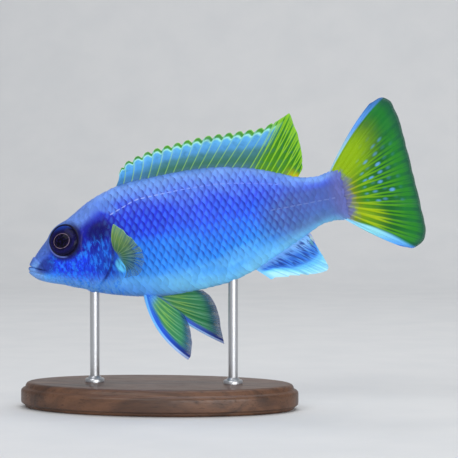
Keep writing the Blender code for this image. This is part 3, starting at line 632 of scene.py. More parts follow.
def make_skin_material():
    material, shader = new_material("blue_skin_paint")
    spots = object_place(shader)
    colour, station, _ = body_colour(shader)
    grain = add_node(spots, "TexVoronoi", {"Vector": spots, "Scale": 2200.0}, feature="SMOOTH_F1")
    set_inputs(shader, {
        "Base Color": pored(eye_rim(colour), station),
        "Roughness": soft(noise(spots, 260.0, 3.0), 0.3, 0.7, 0.34, 0.48),
        "Normal": bumps(grain.outputs["Distance"], 0.25, 0.0001),
        "Specular IOR Level": 0.16, "Coat Weight": 0.05, "Coat Roughness": 0.12,
    })
    return material


skin.data.materials.append(make_skin_material())
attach(skin, "root")
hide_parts("head", "lower_jaw", "gill_cover_left", "gill_cover_right", "trunk", "tail_stalk")

# The scales: overlapping, rounded plates in staggered rows, each rooted under the ones in front
# of it with its rear edge standing a little proud. They are large on the flank, small on nape,
# cheek and tail root, and each is painted with a light middle and a dark violet rim of pigment
# and painted shade, with a painted shadow over its root where the scale in front lies on it.

# A scale's length and the width of its row in millimetres, at stations from the snout back.
SCALE_LENGTHS = (
    (0.09, 1.1), (0.17, 1.35), (0.25, 1.8), (0.32, 2.2), (0.50, 2.3), (0.80, 2.15), (0.90, 1.85),
    (0.98, 1.35), (1.05, 0.85),
)
ROW_PITCHES = ((0.09, 1.15), (0.22, 1.6), (0.32, 2.0), (0.50, 2.1), (0.80, 1.95), (0.92, 1.65), (1.05, 1.45))
SCALE_OVERLAP = 1.9
SCALE_HALF_WIDTH = 1.08
SCALE_ARC = 0.30
SCALE_THICKNESS = 0.00009
SCALE_VARIATION = 0.02
SCALE_TAIL_DIP, SCALE_NAPE_DIP = 0.00062, 0.00016
SCALE_ACROSS = np.array((-1.0, -0.72, -0.38, 0.0, 0.38, 0.72, 1.0))
SCALE_ALONG = np.array((0.0, 0.36, 0.60, 0.80, 0.93, 1.0))
MOST_ROWS = 15
# The scaled parts' limits in metres. Roots may lie a little way in under the gill cover's edge.
ROOT_UNDER_COVER, SCALE_EYE_GAP = 0.0040, 0.0016
NAPE_ROOT_START, NAPE_TIP_START = 0.0160, 0.0190
CHEEK_START, CHEEK_TOP, FACE_BOTTOM = 0.0100, 0.0030, -0.0098
SCALES_START, SCALES_END = 0.09, 1.032
GIRTH_STATIONS = np.linspace(0.02, 1.05, 240) * STANDARD_LENGTH
GIRTH_SHARES = np.linspace(-1.0, 1.0, 241)


def girth_tables(steps=360):
    """For each station, the distance round from the widest level up and down, and the angle by share."""
    angles = np.linspace(0.0, math.pi, steps + 1)
    points = body_point(GIRTH_STATIONS[:, None], np.broadcast_to(angles, (len(GIRTH_STATIONS), steps + 1)))
    lengths = np.cumsum(np.linalg.norm(np.diff(points, axis=1), axis=2), axis=1)
    lengths = np.concatenate([np.zeros((len(lengths), 1)), lengths], axis=1)
    upper = lengths[:, steps // 2]
    lower = lengths[:, -1] - upper
    table = np.empty((len(GIRTH_STATIONS), len(GIRTH_SHARES)))
    for row, (up, down, length) in enumerate(zip(upper, lower, lengths)):
        wanted = np.where(GIRTH_SHARES >= 0, up - GIRTH_SHARES * up, up - GIRTH_SHARES * down)
        table[row] = np.interp(wanted, length, angles)
    return upper, lower, table


upper_girth, lower_girth, angle_table = girth_tables()


def girth_share(x, girth):
    """A distance round from the widest level as a share of the way to the back or the belly."""
    up = np.interp(x, GIRTH_STATIONS, upper_girth)
    down = np.interp(x, GIRTH_STATIONS, lower_girth)
    return np.where(girth >= 0, girth / up, girth / down)


def side_point(x, girth, height, side):
    """A point on one side, by station, distance round from the widest level, and height over the body."""
    share = girth_share(x, girth)
    over_ridge = np.abs(share) > 1
    share = np.where(over_ridge, np.sign(share) * (2 - np.abs(share)), share)
    count = len(GIRTH_STATIONS)
    row = np.clip(np.interp(x, GIRTH_STATIONS, np.arange(count)), 0, count - 1.001)
    column = np.clip((share + 1) / 2, 0, 0.9999) * (len(GIRTH_SHARES) - 1)
    i, j = row.astype(int), column.astype(int)
    u, v = row - i, column - j
    near = angle_table[i, j] * (1 - v) + angle_table[i, j + 1] * v
    far = angle_table[i + 1, j] * (1 - v) + angle_table[i + 1, j + 1] * v
    point = body_point(x, near * (1 - u) + far * u, height)
    point[..., 1] *= np.where(over_ridge, side, -side)
    return point


scale_length = smooth_function([(x * STANDARD_LENGTH, mm * MILLIMETRE) for x, mm in SCALE_LENGTHS])
row_pitch = smooth_function([(x * STANDARD_LENGTH, mm * MILLIMETRE) for x, mm in ROW_PITCHES])
row_stations = np.linspace(SCALES_START, SCALES_END, 400) * STANDARD_LENGTH
scale_counts = np.concatenate([[0.0], np.cumsum(np.diff(row_stations) / scale_length(row_stations[:-1]))])


def scale_is_set(x, tip_x, root, tip, eye):
    """Whether a scale with this root and rear tip belongs on the fish. Snout and eye have none."""
    height, edge, groove = tip[2], gill_edge(tip[2]), cheek_groove(tip[2])
    behind_gill = tip_x > edge + 0.0003 and x > edge - ROOT_UNDER_COVER
    nape = height > GILL_TOP and x > NAPE_ROOT_START and tip_x > NAPE_TIP_START
    on_cover = groove + 0.0002 < x + 0.4 * (tip_x - x) and tip_x < edge - 0.0006
    on_cheek = x > CHEEK_START and tip_x < groove - 0.0003 and height < CHEEK_TOP
    face = (on_cover or on_cheek) and FACE_BOTTOM < height < GILL_TOP - 0.0006
    tip_gap, root_gap = np.linalg.norm(tip - eye), np.linalg.norm(root - eye)
    clear = tip_gap > SOCKET_RADIUS + SCALE_EYE_GAP and root_gap > SOCKET_RADIUS
    return (behind_gill or nape or face) and clear


def scale_roots(side):
    """Station and row of every scale of one side."""
    eye = eye_centre(side)[0]
    found = []
    for row in range(-MOST_ROWS, MOST_ROWS + 1):
        for count in range(int(scale_counts[-1]) + 1):
            x = float(np.interp(count + 0.5 * (row % 2), scale_counts, row_stations))
            tip_x = x + SCALE_OVERLAP * float(scale_length(x))
            if tip_x > SCALES_END * STANDARD_LENGTH:
                continue
            girth = row * float(row_pitch(tip_x))
            if not -1.03 < float(girth_share(tip_x, girth)) < 1.01:
                continue
            tip = side_point(np.array(tip_x), np.array(girth), 0.0, side)
            root = side_point(np.array(x), np.array(row * float(row_pitch(x))), 0.0, side)
            if scale_is_set(x, tip_x, root, tip, eye):
                found.append((x, row))
    return np.array(found)


def scale_points(x0, row, across, along, vary, side):
    """The scales' points. Each is rounded at the rear, rooted deep, and no two are quite alike."""
    length = scale_length(x0) * SCALE_OVERLAP * (1 + SCALE_VARIATION * vary[:, 0])
    width = row_pitch(x0 + length * 0.6) * SCALE_HALF_WIDTH * (1 + SCALE_VARIATION * vary[:, 1])
    forward = length * along * (1 - SCALE_ARC * np.abs(across) ** 2.2)
    sideways = width * across * (0.80 + 0.20 * np.sin(math.pi / 2 * np.minimum(along / 0.6, 1.0)))
    x = x0 + forward + 0.03 * vary[:, 2] * sideways
    girth = row * row_pitch(x) + sideways
    z = side_point(x, girth, 0.0, side)[..., 2]
    share = np.maximum(scaled_share(x, z), 0.25)
    profile = -0.42 + 0.36 * along**0.9 + 0.06 * (1 - across**2) - 0.06 * across**4 - 0.05 * (along > 0.99)
    height = (profile + SCALE_VARIATION * vary[:, 3]) * MILLIMETRE * share
    height += np.where(x < gill_edge(z), head_rise(x, z), 0.0)
    height -= SCALE_TAIL_DIP * ease(x / STANDARD_LENGTH, 0.990, 1.040)
    height -= SCALE_NAPE_DIP * (1 - ease(x, 0.0170, 0.0215)) * ease(z, 0.0070, 0.0095)
    return hug_eye(side_point(x, girth, height, side), side)


def scale_faces(count, side):
    """The faces of one side's scales, wound so that they look outwards."""
    rows, columns = len(SCALE_ALONG), len(SCALE_ACROSS)
    corner = (np.arange(rows - 1)[:, None] * columns + np.arange(columns - 1)[None, :]).reshape(-1)
    one = np.stack([corner, corner + 1, corner + columns + 1, corner + columns], axis=-1)
    if side > 0:
        one = one[:, ::-1]
    return (one[None] + (np.arange(count) * rows * columns)[:, None, None]).reshape(-1, 4).tolist()


def joined_piece(name, points, faces):
    """Many small forms as one piece, from arrays of the level fish's points and lists of faces."""
    mesh = bpy.data.meshes.new(name)
    mesh.from_pydata(posed(points).reshape(-1, 3).tolist(), [], faces)
    piece = bpy.data.objects.new(name, mesh)
    bpy.context.scene.collection.objects.link(piece)
    give_attribute(piece, "fish_place", fish_place(points))
    return piece


def thicken(piece, thickness, offset, group=""):
    """Gives a sheet its thickness, scaled by a vertex group if one is named."""
    solidify = piece.modifiers.new("thickness", "SOLIDIFY")
    solidify.thickness = thickness
    solidify.offset = offset
    solidify.vertex_group = group
    pick(piece)
    bpy.ops.object.modifier_apply(modifier=solidify.name)


# Each scale's patch on the unwrapped skin: its root's station one way, its row the other.
PATCH = 0.003
MAP_HALF_GIRTH = 0.034


def give_bake_map(piece, root_x, root_girth, along, across):
    """Puts the faces of each scale in a small patch at its root's place on the unwrapped skin."""
    root_u = 0.02 + 0.94 * root_x / (SCALES_END * STANDARD_LENGTH)
    root_v = 0.5 + 0.48 * root_girth / MAP_HALF_GIRTH
    places = vectors(root_u + PATCH * (along - 0.5), root_v + 0.5 * PATCH * across).reshape(-1, 2)
    ends = np.empty(len(piece.data.loops), dtype=np.int32)
    piece.data.loops.foreach_get("vertex_index", ends)
    layer = piece.data.uv_layers.new(name="OFBake")
    layer.data.foreach_set("uv", places[ends].reshape(-1).astype(np.float32))


def make_scales(name, side, seed):
    """One side's scales as a single piece of solid plates."""
    draw = np.random.default_rng(seed)
    roots = scale_roots(side)
    vary = draw.normal(0.0, 1.0, (len(roots), 4))[:, :, None, None]
    tone = draw.uniform(0.0, 1.0, (len(roots), 1, 1))
    x0, row = roots[:, 0, None, None], roots[:, 1, None, None]
    across, along = SCALE_ACROSS[None, None, :], SCALE_ALONG[None, :, None]
    points = scale_points(x0, row, across, along, vary, side)
    piece = joined_piece(name, points, scale_faces(len(roots), side))
    give_attribute(piece, "eye_place", eye_places(points))
    give_attribute(piece, "scale_place", vectors(across, along, tone))
    give_bake_map(piece, x0, row * row_pitch(x0), along, across)
    thicken(piece, SCALE_THICKNESS, -1.0)
    shade(piece, 65.0)
    return piece


# The rims' dark violet, also used for the painted shadow over each scale's root.
SCALE_RIM_AND_SHADOW = (22, 26, 138)
SCALE_LIGHT = (86, 158, 255)


def make_scale_material():
    material, shader = new_material("painted_scales")
    colour, station, share = body_colour(shader)
    colour = pored(eye_rim(colour), station)
    lie, across, along, tone = attribute(shader, "scale_place")
    sides = math_node("ABSOLUTE", across)
    flank = product(soft(share, 0.06, 0.36), soft(share, 1.10, 0.80))
    on_body = product(soft(station, 0.25, 0.32, 0.12, 1.0), soft(station, 0.98, 0.76, 0.15, 1.0))
    strength = product(soft(flank, 0.0, 1.0, 0.28, 1.0), on_body)
    middle = product(soft(along, 0.44, 0.62), soft(along, 0.92, 0.72), soft(sides, 0.75, 0.20))
    colour = over(colour, SCALE_LIGHT, product(middle, 0.26, strength))
    crescent = soft(sides, 0.95, 0.30, 0.30, 0.80)
    # The dark violet rim: pigment along the rear edge with painted shade, darker on the upper half.
    rim = product(soft(along, 0.74, 0.98), soft(across, -0.5, 0.3, 0.32, 1.0), crescent)
    colour = over(colour, SCALE_RIM_AND_SHADOW, product(rim, strength))
    # A painted shadow over each scale's root, where the scale in front lies over it.
    colour = over(colour, SCALE_RIM_AND_SHADOW, product(soft(along, 0.62, 0.44), 0.22, strength))
    wave = {"Vector": lie, "Scale": 5.0, "Distortion": 1.5, "Detail": 2.0}
    growth = add_node(lie, "TexWave", wave, wave_type="BANDS", bands_direction="Y").outputs["Fac"]
    set_inputs(shader, {
        "Base Color": dimmed(colour, soft(tone, 0.0, 1.0, 0.90, 1.10)),
        "Roughness": soft(growth, 0.0, 1.0, 0.34, 0.46),
        "Normal": bumps(growth, 0.30, 0.00006),
        "Specular IOR Level": 0.16, "Coat Weight": 0.06, "Coat Roughness": 0.12,
    })
    return material


scale_material = make_scale_material()
for side, side_name, seed in ((-1, "left", 11), (1, "right", 12)):
    scales = make_scales("scales_" + side_name, side, seed)
    scales.data.materials.append(scale_material)
    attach(scales, "root")

# The lateral line: small pale tubes standing on one row of scales, high along the flank behind the
# gill opening and again low along the tail stalk. They are cast with the scales and painted paler.
LINE_UPPER = (
    (0.302, 0.106), (0.343, 0.120), (0.393, 0.134), (0.505, 0.135), (0.638, 0.1295), (0.745, 0.110),
    (0.830, 0.089),
)
LINE_LOWER = ((0.800, 0.015), (0.990, 0.012))
TUBE_SPACING, TUBE_LENGTH, TUBE_WIDTH = 0.0021, 0.0017, 0.00052
TUBE_LEVEL, TUBE_HALF_HEIGHT = -0.00002, 0.00012
STEEPEST_SLOPE = 0.5


def girth_at_height(x, z):
    """The distance round from the widest level to a height on the side, by station."""
    room = np.interp(x, GIRTH_STATIONS, np.minimum(upper_girth, lower_girth))
    tried = np.linspace(-0.9, 0.9, 200) * room
    return float(np.interp(z, side_point(np.full(200, x), tried, 0.0, -1)[:, 2], tried))


def tube_places():
    """Station and distance round of the middle of every tube of one side."""
    found = []
    for line in (LINE_UPPER, LINE_LOWER):
        height = smooth_function(real(line))
        start, end = line[0][0] * STANDARD_LENGTH, line[-1][0] * STANDARD_LENGTH
        for x in np.arange(start, end, TUBE_SPACING):
            found.append((x, girth_at_height(x, float(height(x)))))
    return np.array(found)


def unit_sphere(segments, rings):
    """A sphere primitive of radius 1 as a new piece, with its points."""
    bpy.ops.object.select_all(action="DESELECT")
    bpy.ops.mesh.primitive_uv_sphere_add(segments=segments, ring_count=rings, radius=1.0)
    sphere = bpy.context.active_object
    points = np.empty(len(sphere.data.vertices) * 3)
    sphere.data.vertices.foreach_get("co", points)
    return sphere, points.reshape(-1, 3)


def make_lateral_line(name, side):
    """One tube made from a sphere, repeated along the line, each one bent to the body there."""
    tube, ball = unit_sphere(12, 10)
    sides = [np.array(face.vertices) for face in tube.data.polygons]
    bpy.data.objects.remove(tube)
    places = tube_places()
    middle_x, middle_girth = places[:, :1], places[:, 1:]
    slope = np.gradient(places[:, 1]) / np.gradient(places[:, 0])
    slope = np.where(np.abs(slope) > STEEPEST_SLOPE, 0.0, slope)[:, None]
    x = middle_x + 0.5 * TUBE_LENGTH * ball[:, 2]
    girth = middle_girth + slope * (x - middle_x) + 0.5 * TUBE_WIDTH * ball[:, 0]
    points = side_point(x, girth, TUBE_LEVEL + TUBE_HALF_HEIGHT * ball[:, 1], side)
    faces = [(face + index * len(ball)).tolist() for index in range(len(places)) for face in sides]
    piece = joined_piece(name, points, faces)
    give_bake_map(piece, middle_x, middle_girth, 0.5 + 0.5 * ball[:, 2], ball[:, 0])
    close_up(piece, 0.000001)
    shade(piece, 80.0)
    return piece


def make_line_material():
    material, shader = new_material("lateral_line_paint")
    colour, station, _ = body_colour(shader)
    colour = over(colour, (170, 192, 250), soft(station, 0.62, 0.36, 0.12, 0.55))
    set_inputs(shader, {"Base Color": colour, "Roughness": 0.40, "Specular IOR Level": 0.30})
    return material


line_material = make_line_material()
for side, side_name in ((-1, "left"), (1, "right")):
    lateral_line = make_lateral_line("lateral_line_" + side_name, side)
    lateral_line.data.materials.append(line_material)
    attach(lateral_line, "root")

# The eyes: round glass eyes with a dark iris, a thin pale ring round a near-black pupil, and a
# clear domed front. Each one sits in its socket, a little flatter outside than behind.
EYE_BALL_RADIUS = 0.00468
EYE_BULGE, EYE_DEPTH, LENS_RISE = 0.00125, 0.0032, 0.00022
PUPIL_PLACE, PUPIL_RADII = (-0.00045, -0.00020), (0.00270, 0.00232)


def make_eye(side, side_name):
    """A sphere flattened to the eyeball's shape, its pole towards the way the eye faces."""
    centre, facing = eye_centre(side)
    eye, ball = unit_sphere(96, 64)
    eye.name = eye.data.name = "eye_" + side_name
    tail = np.array((1.0, 0.0, 0.0)) - facing[0] * facing
    tail /= np.linalg.norm(tail)
    up = np.cross(facing, tail)
    up = up if up[2] > 0 else -up
    across, height = ball[:, 0] * EYE_BALL_RADIUS, ball[:, 1] * EYE_BALL_RADIUS
    off = np.hypot((across - PUPIL_PLACE[0]) / PUPIL_RADII[0], (height - PUPIL_PLACE[1]) / PUPIL_RADII[1])
    front = ball[:, 2] > 0
    out = ball[:, 2] * np.where(front, EYE_BULGE, EYE_DEPTH) + LENS_RISE * (1 - ease(off, 0.55, 1.10)) * front
    points = centre + across[:, None] * tail + height[:, None] * up + out[:, None] * facing
    eye.data.vertices.foreach_set("co", posed(points).reshape(-1))
    give_attribute(eye, "eye_place", vectors(across, height, out) / EYE_BALL_RADIUS)
    close_up(eye, 0.000002)
    shade(eye)
    return eye


def make_eye_material():
    material, shader = new_material("glass_eye")
    place, _, height, _ = attribute(shader, "eye_place")
    centre, radii = [[value / EYE_BALL_RADIUS for value in pair] for pair in (PUPIL_PLACE, PUPIL_RADII)]
    turned = mapped(place, "TEXTURE", Location=(*centre, 0.0), Scale=(*radii, 1000.0))
    off = add_node(turned, "VectorMath", {0: turned}, operation="LENGTH").outputs["Value"]
    iris = ramp(product(off, 0.5), tones(
        (0.00, 2, 2, 10), (0.48, 4, 4, 14), (0.56, 10, 9, 42), (0.72, 14, 14, 70), (0.90, 7, 8, 38),
    ))
    grain = noise(place, 9.0, 4.0, 0.6, 0.3)
    iris = over(iris, (40, 26, 96), soft(grain, 0.45, 0.75, 0.0, 0.6))
    # A painted blue sheen over the upper edge of the eye: a painted reflection, not the iris's own colour.
    iris = over(iris, (30, 66, 170), product(soft(height, 0.55, 1.00), soft(off, 1.25, 1.60), 0.70))
    ring = product(soft(off, 0.95, 0.995), soft(off, 1.045, 1.00))
    broken = soft(noise(place, 2.6), 0.36, 0.52, 0.25, 0.95)
    set_inputs(shader, {
        "Base Color": over(iris, (150, 128, 150), product(ring, broken)),
        "Roughness": 0.5, "Specular IOR Level": 0.04, "Coat Weight": 0.12, "Coat Roughness": 0.04,
    })
    return material


eye_material = make_eye_material()
for side, side_name in ((-1, "left"), (1, "right")):
    eye = make_eye(side, side_name)
    eye.data.materials.append(eye_material)
    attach(eye, "root")
    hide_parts("eye_" + side_name)

# The dorsal fin: a thin sheet cast in one with its rays, 17 hard spines and 9 soft rays that fork
# twice, its foot set into the back. The web is painted in glazes, blue in front and green behind.
DORSAL_SPINES, DORSAL_SOFT_RAYS = 17, 9
DORSAL_SPINE_ROOTS, DORSAL_SOFT_ROOTS = (0.316, 0.745), (0.745, 0.887)
DORSAL_TOP = (
    (0.338, 0.224), (0.359, 0.245), (0.410, 0.261), (0.479, 0.272), (0.609, 0.277), (0.735, 0.270),
    (0.805, 0.266), (0.857, 0.279),
)
DORSAL_REAR = (
    (0.880, 0.288), (0.906, 0.297), (0.912, 0.262), (0.918, 0.225), (0.919, 0.180), (0.911, 0.125),
)
DORSAL_LAPPET, DORSAL_BOW = 0.0085, (0.006, 0.0, 0.004)
FIN_ROOT_DEPTH = 0.0007
FIN_ROWS = 44


def between(ends, share):
    """The value at a share of the way from the first end to the second."""
    return ends[0] + (ends[1] - ends[0]) * share


def line_points(points, shares):
    """Points at shares of the way along a smooth line through the given points."""
    knots = np.array(points, float)
    lengths = np.concatenate([[0.0], np.cumsum(np.linalg.norm(np.diff(knots, axis=0), axis=1))])
    lines = [smooth_function(list(zip(lengths, knots[:, axis]))) for axis in range(knots.shape[1])]
    return np.stack([line(np.asarray(shares) * lengths[-1]) for line in lines], axis=-1)


def side_points(flat):
    """Points given as station and height, in fractions of the standard length, on the middle plane."""
    return vectors(flat[..., 0], 0.0, flat[..., 1]) * STANDARD_LENGTH


def ray_lines(roots, tips, bows, rows=FIN_ROWS):
    """Rows of points from every root to its tip, bowed by a vector at the middle."""
    t = np.linspace(0.0, 1.0, rows)[:, None, None]
    return roots * (1 - t) + tips * t + bows * STANDARD_LENGTH * 4 * t * (1 - t)


def lengthened(roots, tips, amounts):
    """Tips moved out along their own rays by amounts in fractions of the standard length."""
    return tips + unit(tips - roots) * np.asarray(amounts)[:, None] * STANDARD_LENGTH


def off_ray(places):
    """How far places are from the nearest ray, in spaces between rays."""
    return places - np.round(places)


def lobes(places):
    """The free margin between spines: a rounded lobe behind each spine's tip, then a dip."""
    past = places % 1
    return ease(past, -0.02, 0.18) * 0.7 + 0.3 - 1.6 * ease(past, 0.35, 0.97)


def ridge_share(places, t, branched, width):
    """1 along a ray, falling to 0 on the web, with soft rays forked at a third and at two thirds."""
    off = off_ray(places)
    first = 0.19 * ease(t, 0.26, 0.62) * branched
    second = 0.095 * ease(t, 0.60, 0.95) * branched
    found = np.zeros(np.broadcast(off, t).shape)
    for fork in (-1, 1):
        for twig in (-1, 1):
            found = np.maximum(found, bump(off, fork * first + twig * second, width))
    return found


def fin_ridges(points, places, t, branched, ray_width):
    """1 on the rays and 0 on the web, for rays of one width in millimetres over the whole fin."""
    spacing = np.linalg.norm(np.gradient(points, axis=1), axis=-1) / np.gradient(places)
    width = np.clip(ray_width * MILLIMETRE / np.maximum(spacing, 1e-6), 0.085, 0.30)
    return ridge_share(places, t, branched, width)


def waved(points, places, t, wave):
    """The fin's sheet in gentle folds that grow towards its edge, by a height in millimetres."""
    normal = np.cross(np.gradient(points, axis=0), np.gradient(points, axis=1))
    normal /= np.maximum(np.linalg.norm(normal, axis=-1, keepdims=True), 1e-12)
    fold = np.sin(math.pi * places) * np.sin(0.9 * places + 2.2 * t)
    return points + normal * (wave * MILLIMETRE * fold * t**1.3)[..., None]


def give_fin_places(piece, points, places, t, ridges):
    """Stores each point's place in the fin and on the side, and its distances from ray and edges."""
    front = np.linalg.norm(points - points[:, :1], axis=-1) / MILLIMETRE
    rear = np.linalg.norm(points - points[:, -1:], axis=-1) / MILLIMETRE
    give_attribute(piece, "fin_place", vectors(places / places[-1], t, ridges))
    flat = points / STANDARD_LENGTH
    give_attribute(piece, "fin_lie", vectors(flat[..., 0], flat[..., 2], 0.0))
    give_attribute(piece, "fin_apart", vectors(np.abs(off_ray(places)), front, rear))


def fin_piece(name, points, places, branched, sizes, ray_width, wave):
    """A fin from rows of points: ridged by its rays, gently wavy, closed and thin towards its edge.

    sizes are a ray's thickness at root and tip and the web's at root and tip, in millimetres.
    """
    t = np.linspace(0.0, 1.0, len(points))[:, None]
    ridges = fin_ridges(points, places, t, branched, ray_width)
    ray, web = between(sizes[:2], t), between(sizes[2:], t)
    thickness = web + (ray - web) * ridges
    piece = grid_piece(name, posed(waved(points, places, t, wave)))
    give_fin_places(piece, points, places, t, ridges)
    group = piece.vertex_groups.new(name="thickness")
    most = thickness.max()
    for index, value in enumerate((thickness / most).reshape(-1)):
        group.add([index], float(value), "REPLACE")
    thicken(piece, most * MILLIMETRE, 0.0, group.name)
    close_up(piece, 0.000002)
    shade(piece, 70.0)
    return piece


def fin_places(rays, steps):
    """Places across a fin, counted in rays from the first, with steps from each ray to the next."""
    return np.linspace(0.0, rays - 1, (rays - 1) * steps + 1)


def make_dorsal_fin():
    places = fin_places(DORSAL_SPINES + DORSAL_SOFT_RAYS, 10)
    last_spine = DORSAL_SPINES - 1
    spine_share = np.clip(places / last_spine, 0.0, 1.0)
    soft_share = np.clip((places - last_spine) / DORSAL_SOFT_RAYS, 0.0, 1.0)
    hard = places <= last_spine
    spine_roots, soft_roots = between(DORSAL_SPINE_ROOTS, spine_share), between(DORSAL_SOFT_ROOTS, soft_share)
    root_x = np.where(hard, spine_roots, soft_roots) * STANDARD_LENGTH
    roots = vectors(root_x, 0.0, back(root_x) - FIN_ROOT_DEPTH)
    top = line_points(DORSAL_TOP, spine_share)
    rear = line_points((DORSAL_TOP[-1],) + DORSAL_REAR, soft_share)
    tips = side_points(np.where(hard[:, None], top, rear))
    tips = lengthened(roots, tips, np.where(hard & (places > 0), DORSAL_LAPPET * lobes(places), 0.0))
    points = ray_lines(roots, tips, np.array(DORSAL_BOW))
    branched = ease(places, last_spine - 0.5, last_spine + 0.5)
    sizes = (0.75, 0.34, 0.36, 0.20)
    return fin_piece("dorsal_fin", points, places, branched, sizes, ray_width=0.26, wave=0.22)


def finish_fin(shader, colour, ridge, lie, alpha=1.0):
    """Joins a fin's colour, the fine joints of its rays and the sheen of a wet web."""
    height = math_node("ADD", product(noise(lie, 160.0, 3.0), 0.5), ridge)
    set_inputs(shader, {
        "Base Color": colour, "Normal": bumps(height, 0.35, 0.00015), "Alpha": alpha,
        "Roughness": 0.45, "Specular IOR Level": 0.20, "Coat Weight": 0.08, "Coat Roughness": 0.15,
    })


def make_dorsal_material():
    material, shader = new_material("dorsal_fin_paint")
    _, across, share, ridge = attribute(shader, "fin_place")
    lie = attribute(shader, "fin_lie")[0]
    blue = ramp(share, tones(
        (0.00, 76, 122, 190), (0.22, 62, 124, 176), (0.50, 76, 156, 226), (0.78, 92, 176, 240),
        (0.85, 166, 232, 232), (0.90, 70, 150, 66), (0.955, 58, 132, 44), (0.985, 116, 184, 92),
        (1.00, 140, 202, 112),
    ))
    olive = ramp(share, tones(
        (0.00, 72, 118, 140), (0.18, 54, 112, 96), (0.38, 64, 126, 136), (0.56, 78, 152, 212),
        (0.78, 92, 174, 232), (0.85, 158, 230, 222), (0.90, 76, 156, 54), (0.955, 64, 138, 36),
        (0.985, 120, 188, 84), (1.00, 144, 204, 104),
    ))
    green = ramp(share, tones(
        (0.00, 84, 140, 30), (0.16, 66, 134, 16), (0.60, 46, 124, 12), (0.90, 60, 142, 18),
        (1.00, 110, 180, 50),
    ))
    colour = over(blue, olive, soft(across, 0.06, 0.24))
    colour = over(colour, green, soft(across, 0.625, 0.725))
    colour = over(colour, (220, 196, 0), product(soft(across, 0.86, 1.0), soft(share, 0.42, 0.02)))
    blotch = noise(lie, 42.0, 4.0, 0.55, 0.4)
    colour = over(colour, (40, 100, 116), soft(blotch, 0.46, 0.74, 0.0, 0.40))
    light = over((140, 196, 96), (136, 206, 200), soft(share, 0.35, 0.75))
    light = over(light, (150, 208, 40), soft(across, 0.58, 0.68))
    finish_fin(shader, over(colour, light, soft(ridge, 0.25, 0.85, 0.0, 0.72)), ridge, lie)
    return material


dorsal_fin = make_dorsal_fin()
dorsal_fin.data.materials.append(make_dorsal_material())
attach(dorsal_fin, "root")
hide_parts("dorsal_fin")

# The anal fin: three short spines and eight forked soft rays under the tail, held half open. It is
# cast and fixed like the dorsal fin, dark blue at its foot with a broad pale margin.
ANAL_SPINES, ANAL_SOFT_RAYS = 3, 8
ANAL_ROOTS = (0.696, 0.889)
ANAL_MARGIN = (
    (0.738, -0.192), (0.770, -0.194), (0.804, -0.196), (0.843, -0.200), (0.889, -0.206), (0.920, -0.203),
    (0.927, -0.192), (0.918, -0.160), (0.899, -0.112),
)
ANAL_LAPPET, ANAL_LEAN, ANAL_BOW = 0.0050, 0.70, (0.004, 0.0, -0.003)


def make_anal_fin():
    places = fin_places(ANAL_SPINES + ANAL_SOFT_RAYS, 14)
    share = places / places[-1]
    root_x = between(ANAL_ROOTS, share) * STANDARD_LENGTH
    roots = vectors(root_x, 0.0, belly(root_x) + FIN_ROOT_DEPTH)
    past = places % 1
    pointed = 1 - 1.4 * ease(past, 0.0, 0.22) + 1.4 * ease(past, 0.22, 1.0)
    tips = side_points(line_points(ANAL_MARGIN, share**ANAL_LEAN))
    tips = lengthened(roots, tips, np.where(places < ANAL_SPINES, ANAL_LAPPET * pointed, 0.0))
    points = ray_lines(roots, tips, np.array(ANAL_BOW))
    branched = ease(places, ANAL_SPINES - 0.6, ANAL_SPINES + 0.2)
    sizes = (0.70, 0.34, 0.36, 0.20)
    return fin_piece("anal_fin", points, places, branched, sizes, ray_width=0.26, wave=0.25)


def make_anal_material():
    material, shader = new_material("anal_fin_paint")
    place, across, share, ridge = attribute(shader, "fin_place")
    lie = attribute(shader, "fin_lie")[0]
    _, _, front_gap, rear_gap = attribute(shader, "fin_apart")
    paler = product(soft(across, 0.30, 0.04, 0.0, 0.42), soft(share, 0.10, 0.50))
    deeper = soft(across, 0.52, 0.88, 0.0, 0.33)
    shifted = math_node("SUBTRACT", math_node("ADD", share, paler), deeper)
    web = ramp(shifted, tones(
        (0.00, 130, 186, 246), (0.14, 96, 154, 232), (0.30, 48, 112, 214), (0.50, 60, 134, 236),
        (0.64, 104, 198, 255), (0.80, 146, 230, 255), (1.00, 178, 240, 255),
    ))
    colour = over(web, (104, 180, 244), soft(ridge, 0.40, 0.95, 0.0, 0.50))
    streak = noise(mapped(place, Scale=(24.0, 2.4, 0.0)), 1.0, 2.0, 0.5, 0.4)
    middle = product(soft(shifted, 0.60, 0.40), soft(share, 0.05, 0.18), soft(across, 0.05, 0.30, 0.10, 1.0))
    colour = over(colour, (6, 40, 138), product(soft(streak, 0.44, 0.62, 0.0, 0.85), middle))
    colour = over(colour, (122, 204, 255), soft(front_gap, 2.2, 0.2, 0.0, 0.80))
    colour = over(colour, (176, 184, 232), soft(rear_gap, 0.65, 0.35, 0.0, 0.8))
    dusk = zone(place, (0.895, 0.50), (0.060, 0.24))
    colour = over(colour, (88, 150, 120), soft(dusk, 0.0, 0.8, 0.0, 0.65))
    spot = zone(place, (0.965, 0.42), (0.034, 0.34))
    finish_fin(shader, over(colour, (190, 214, 180), soft(spot, 0.0, 0.8, 0.0, 0.80)), ridge, lie)
    return material


anal_fin = make_anal_fin()
anal_fin.data.materials.append(make_anal_material())
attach(anal_fin, "root")
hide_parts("anal_fin")

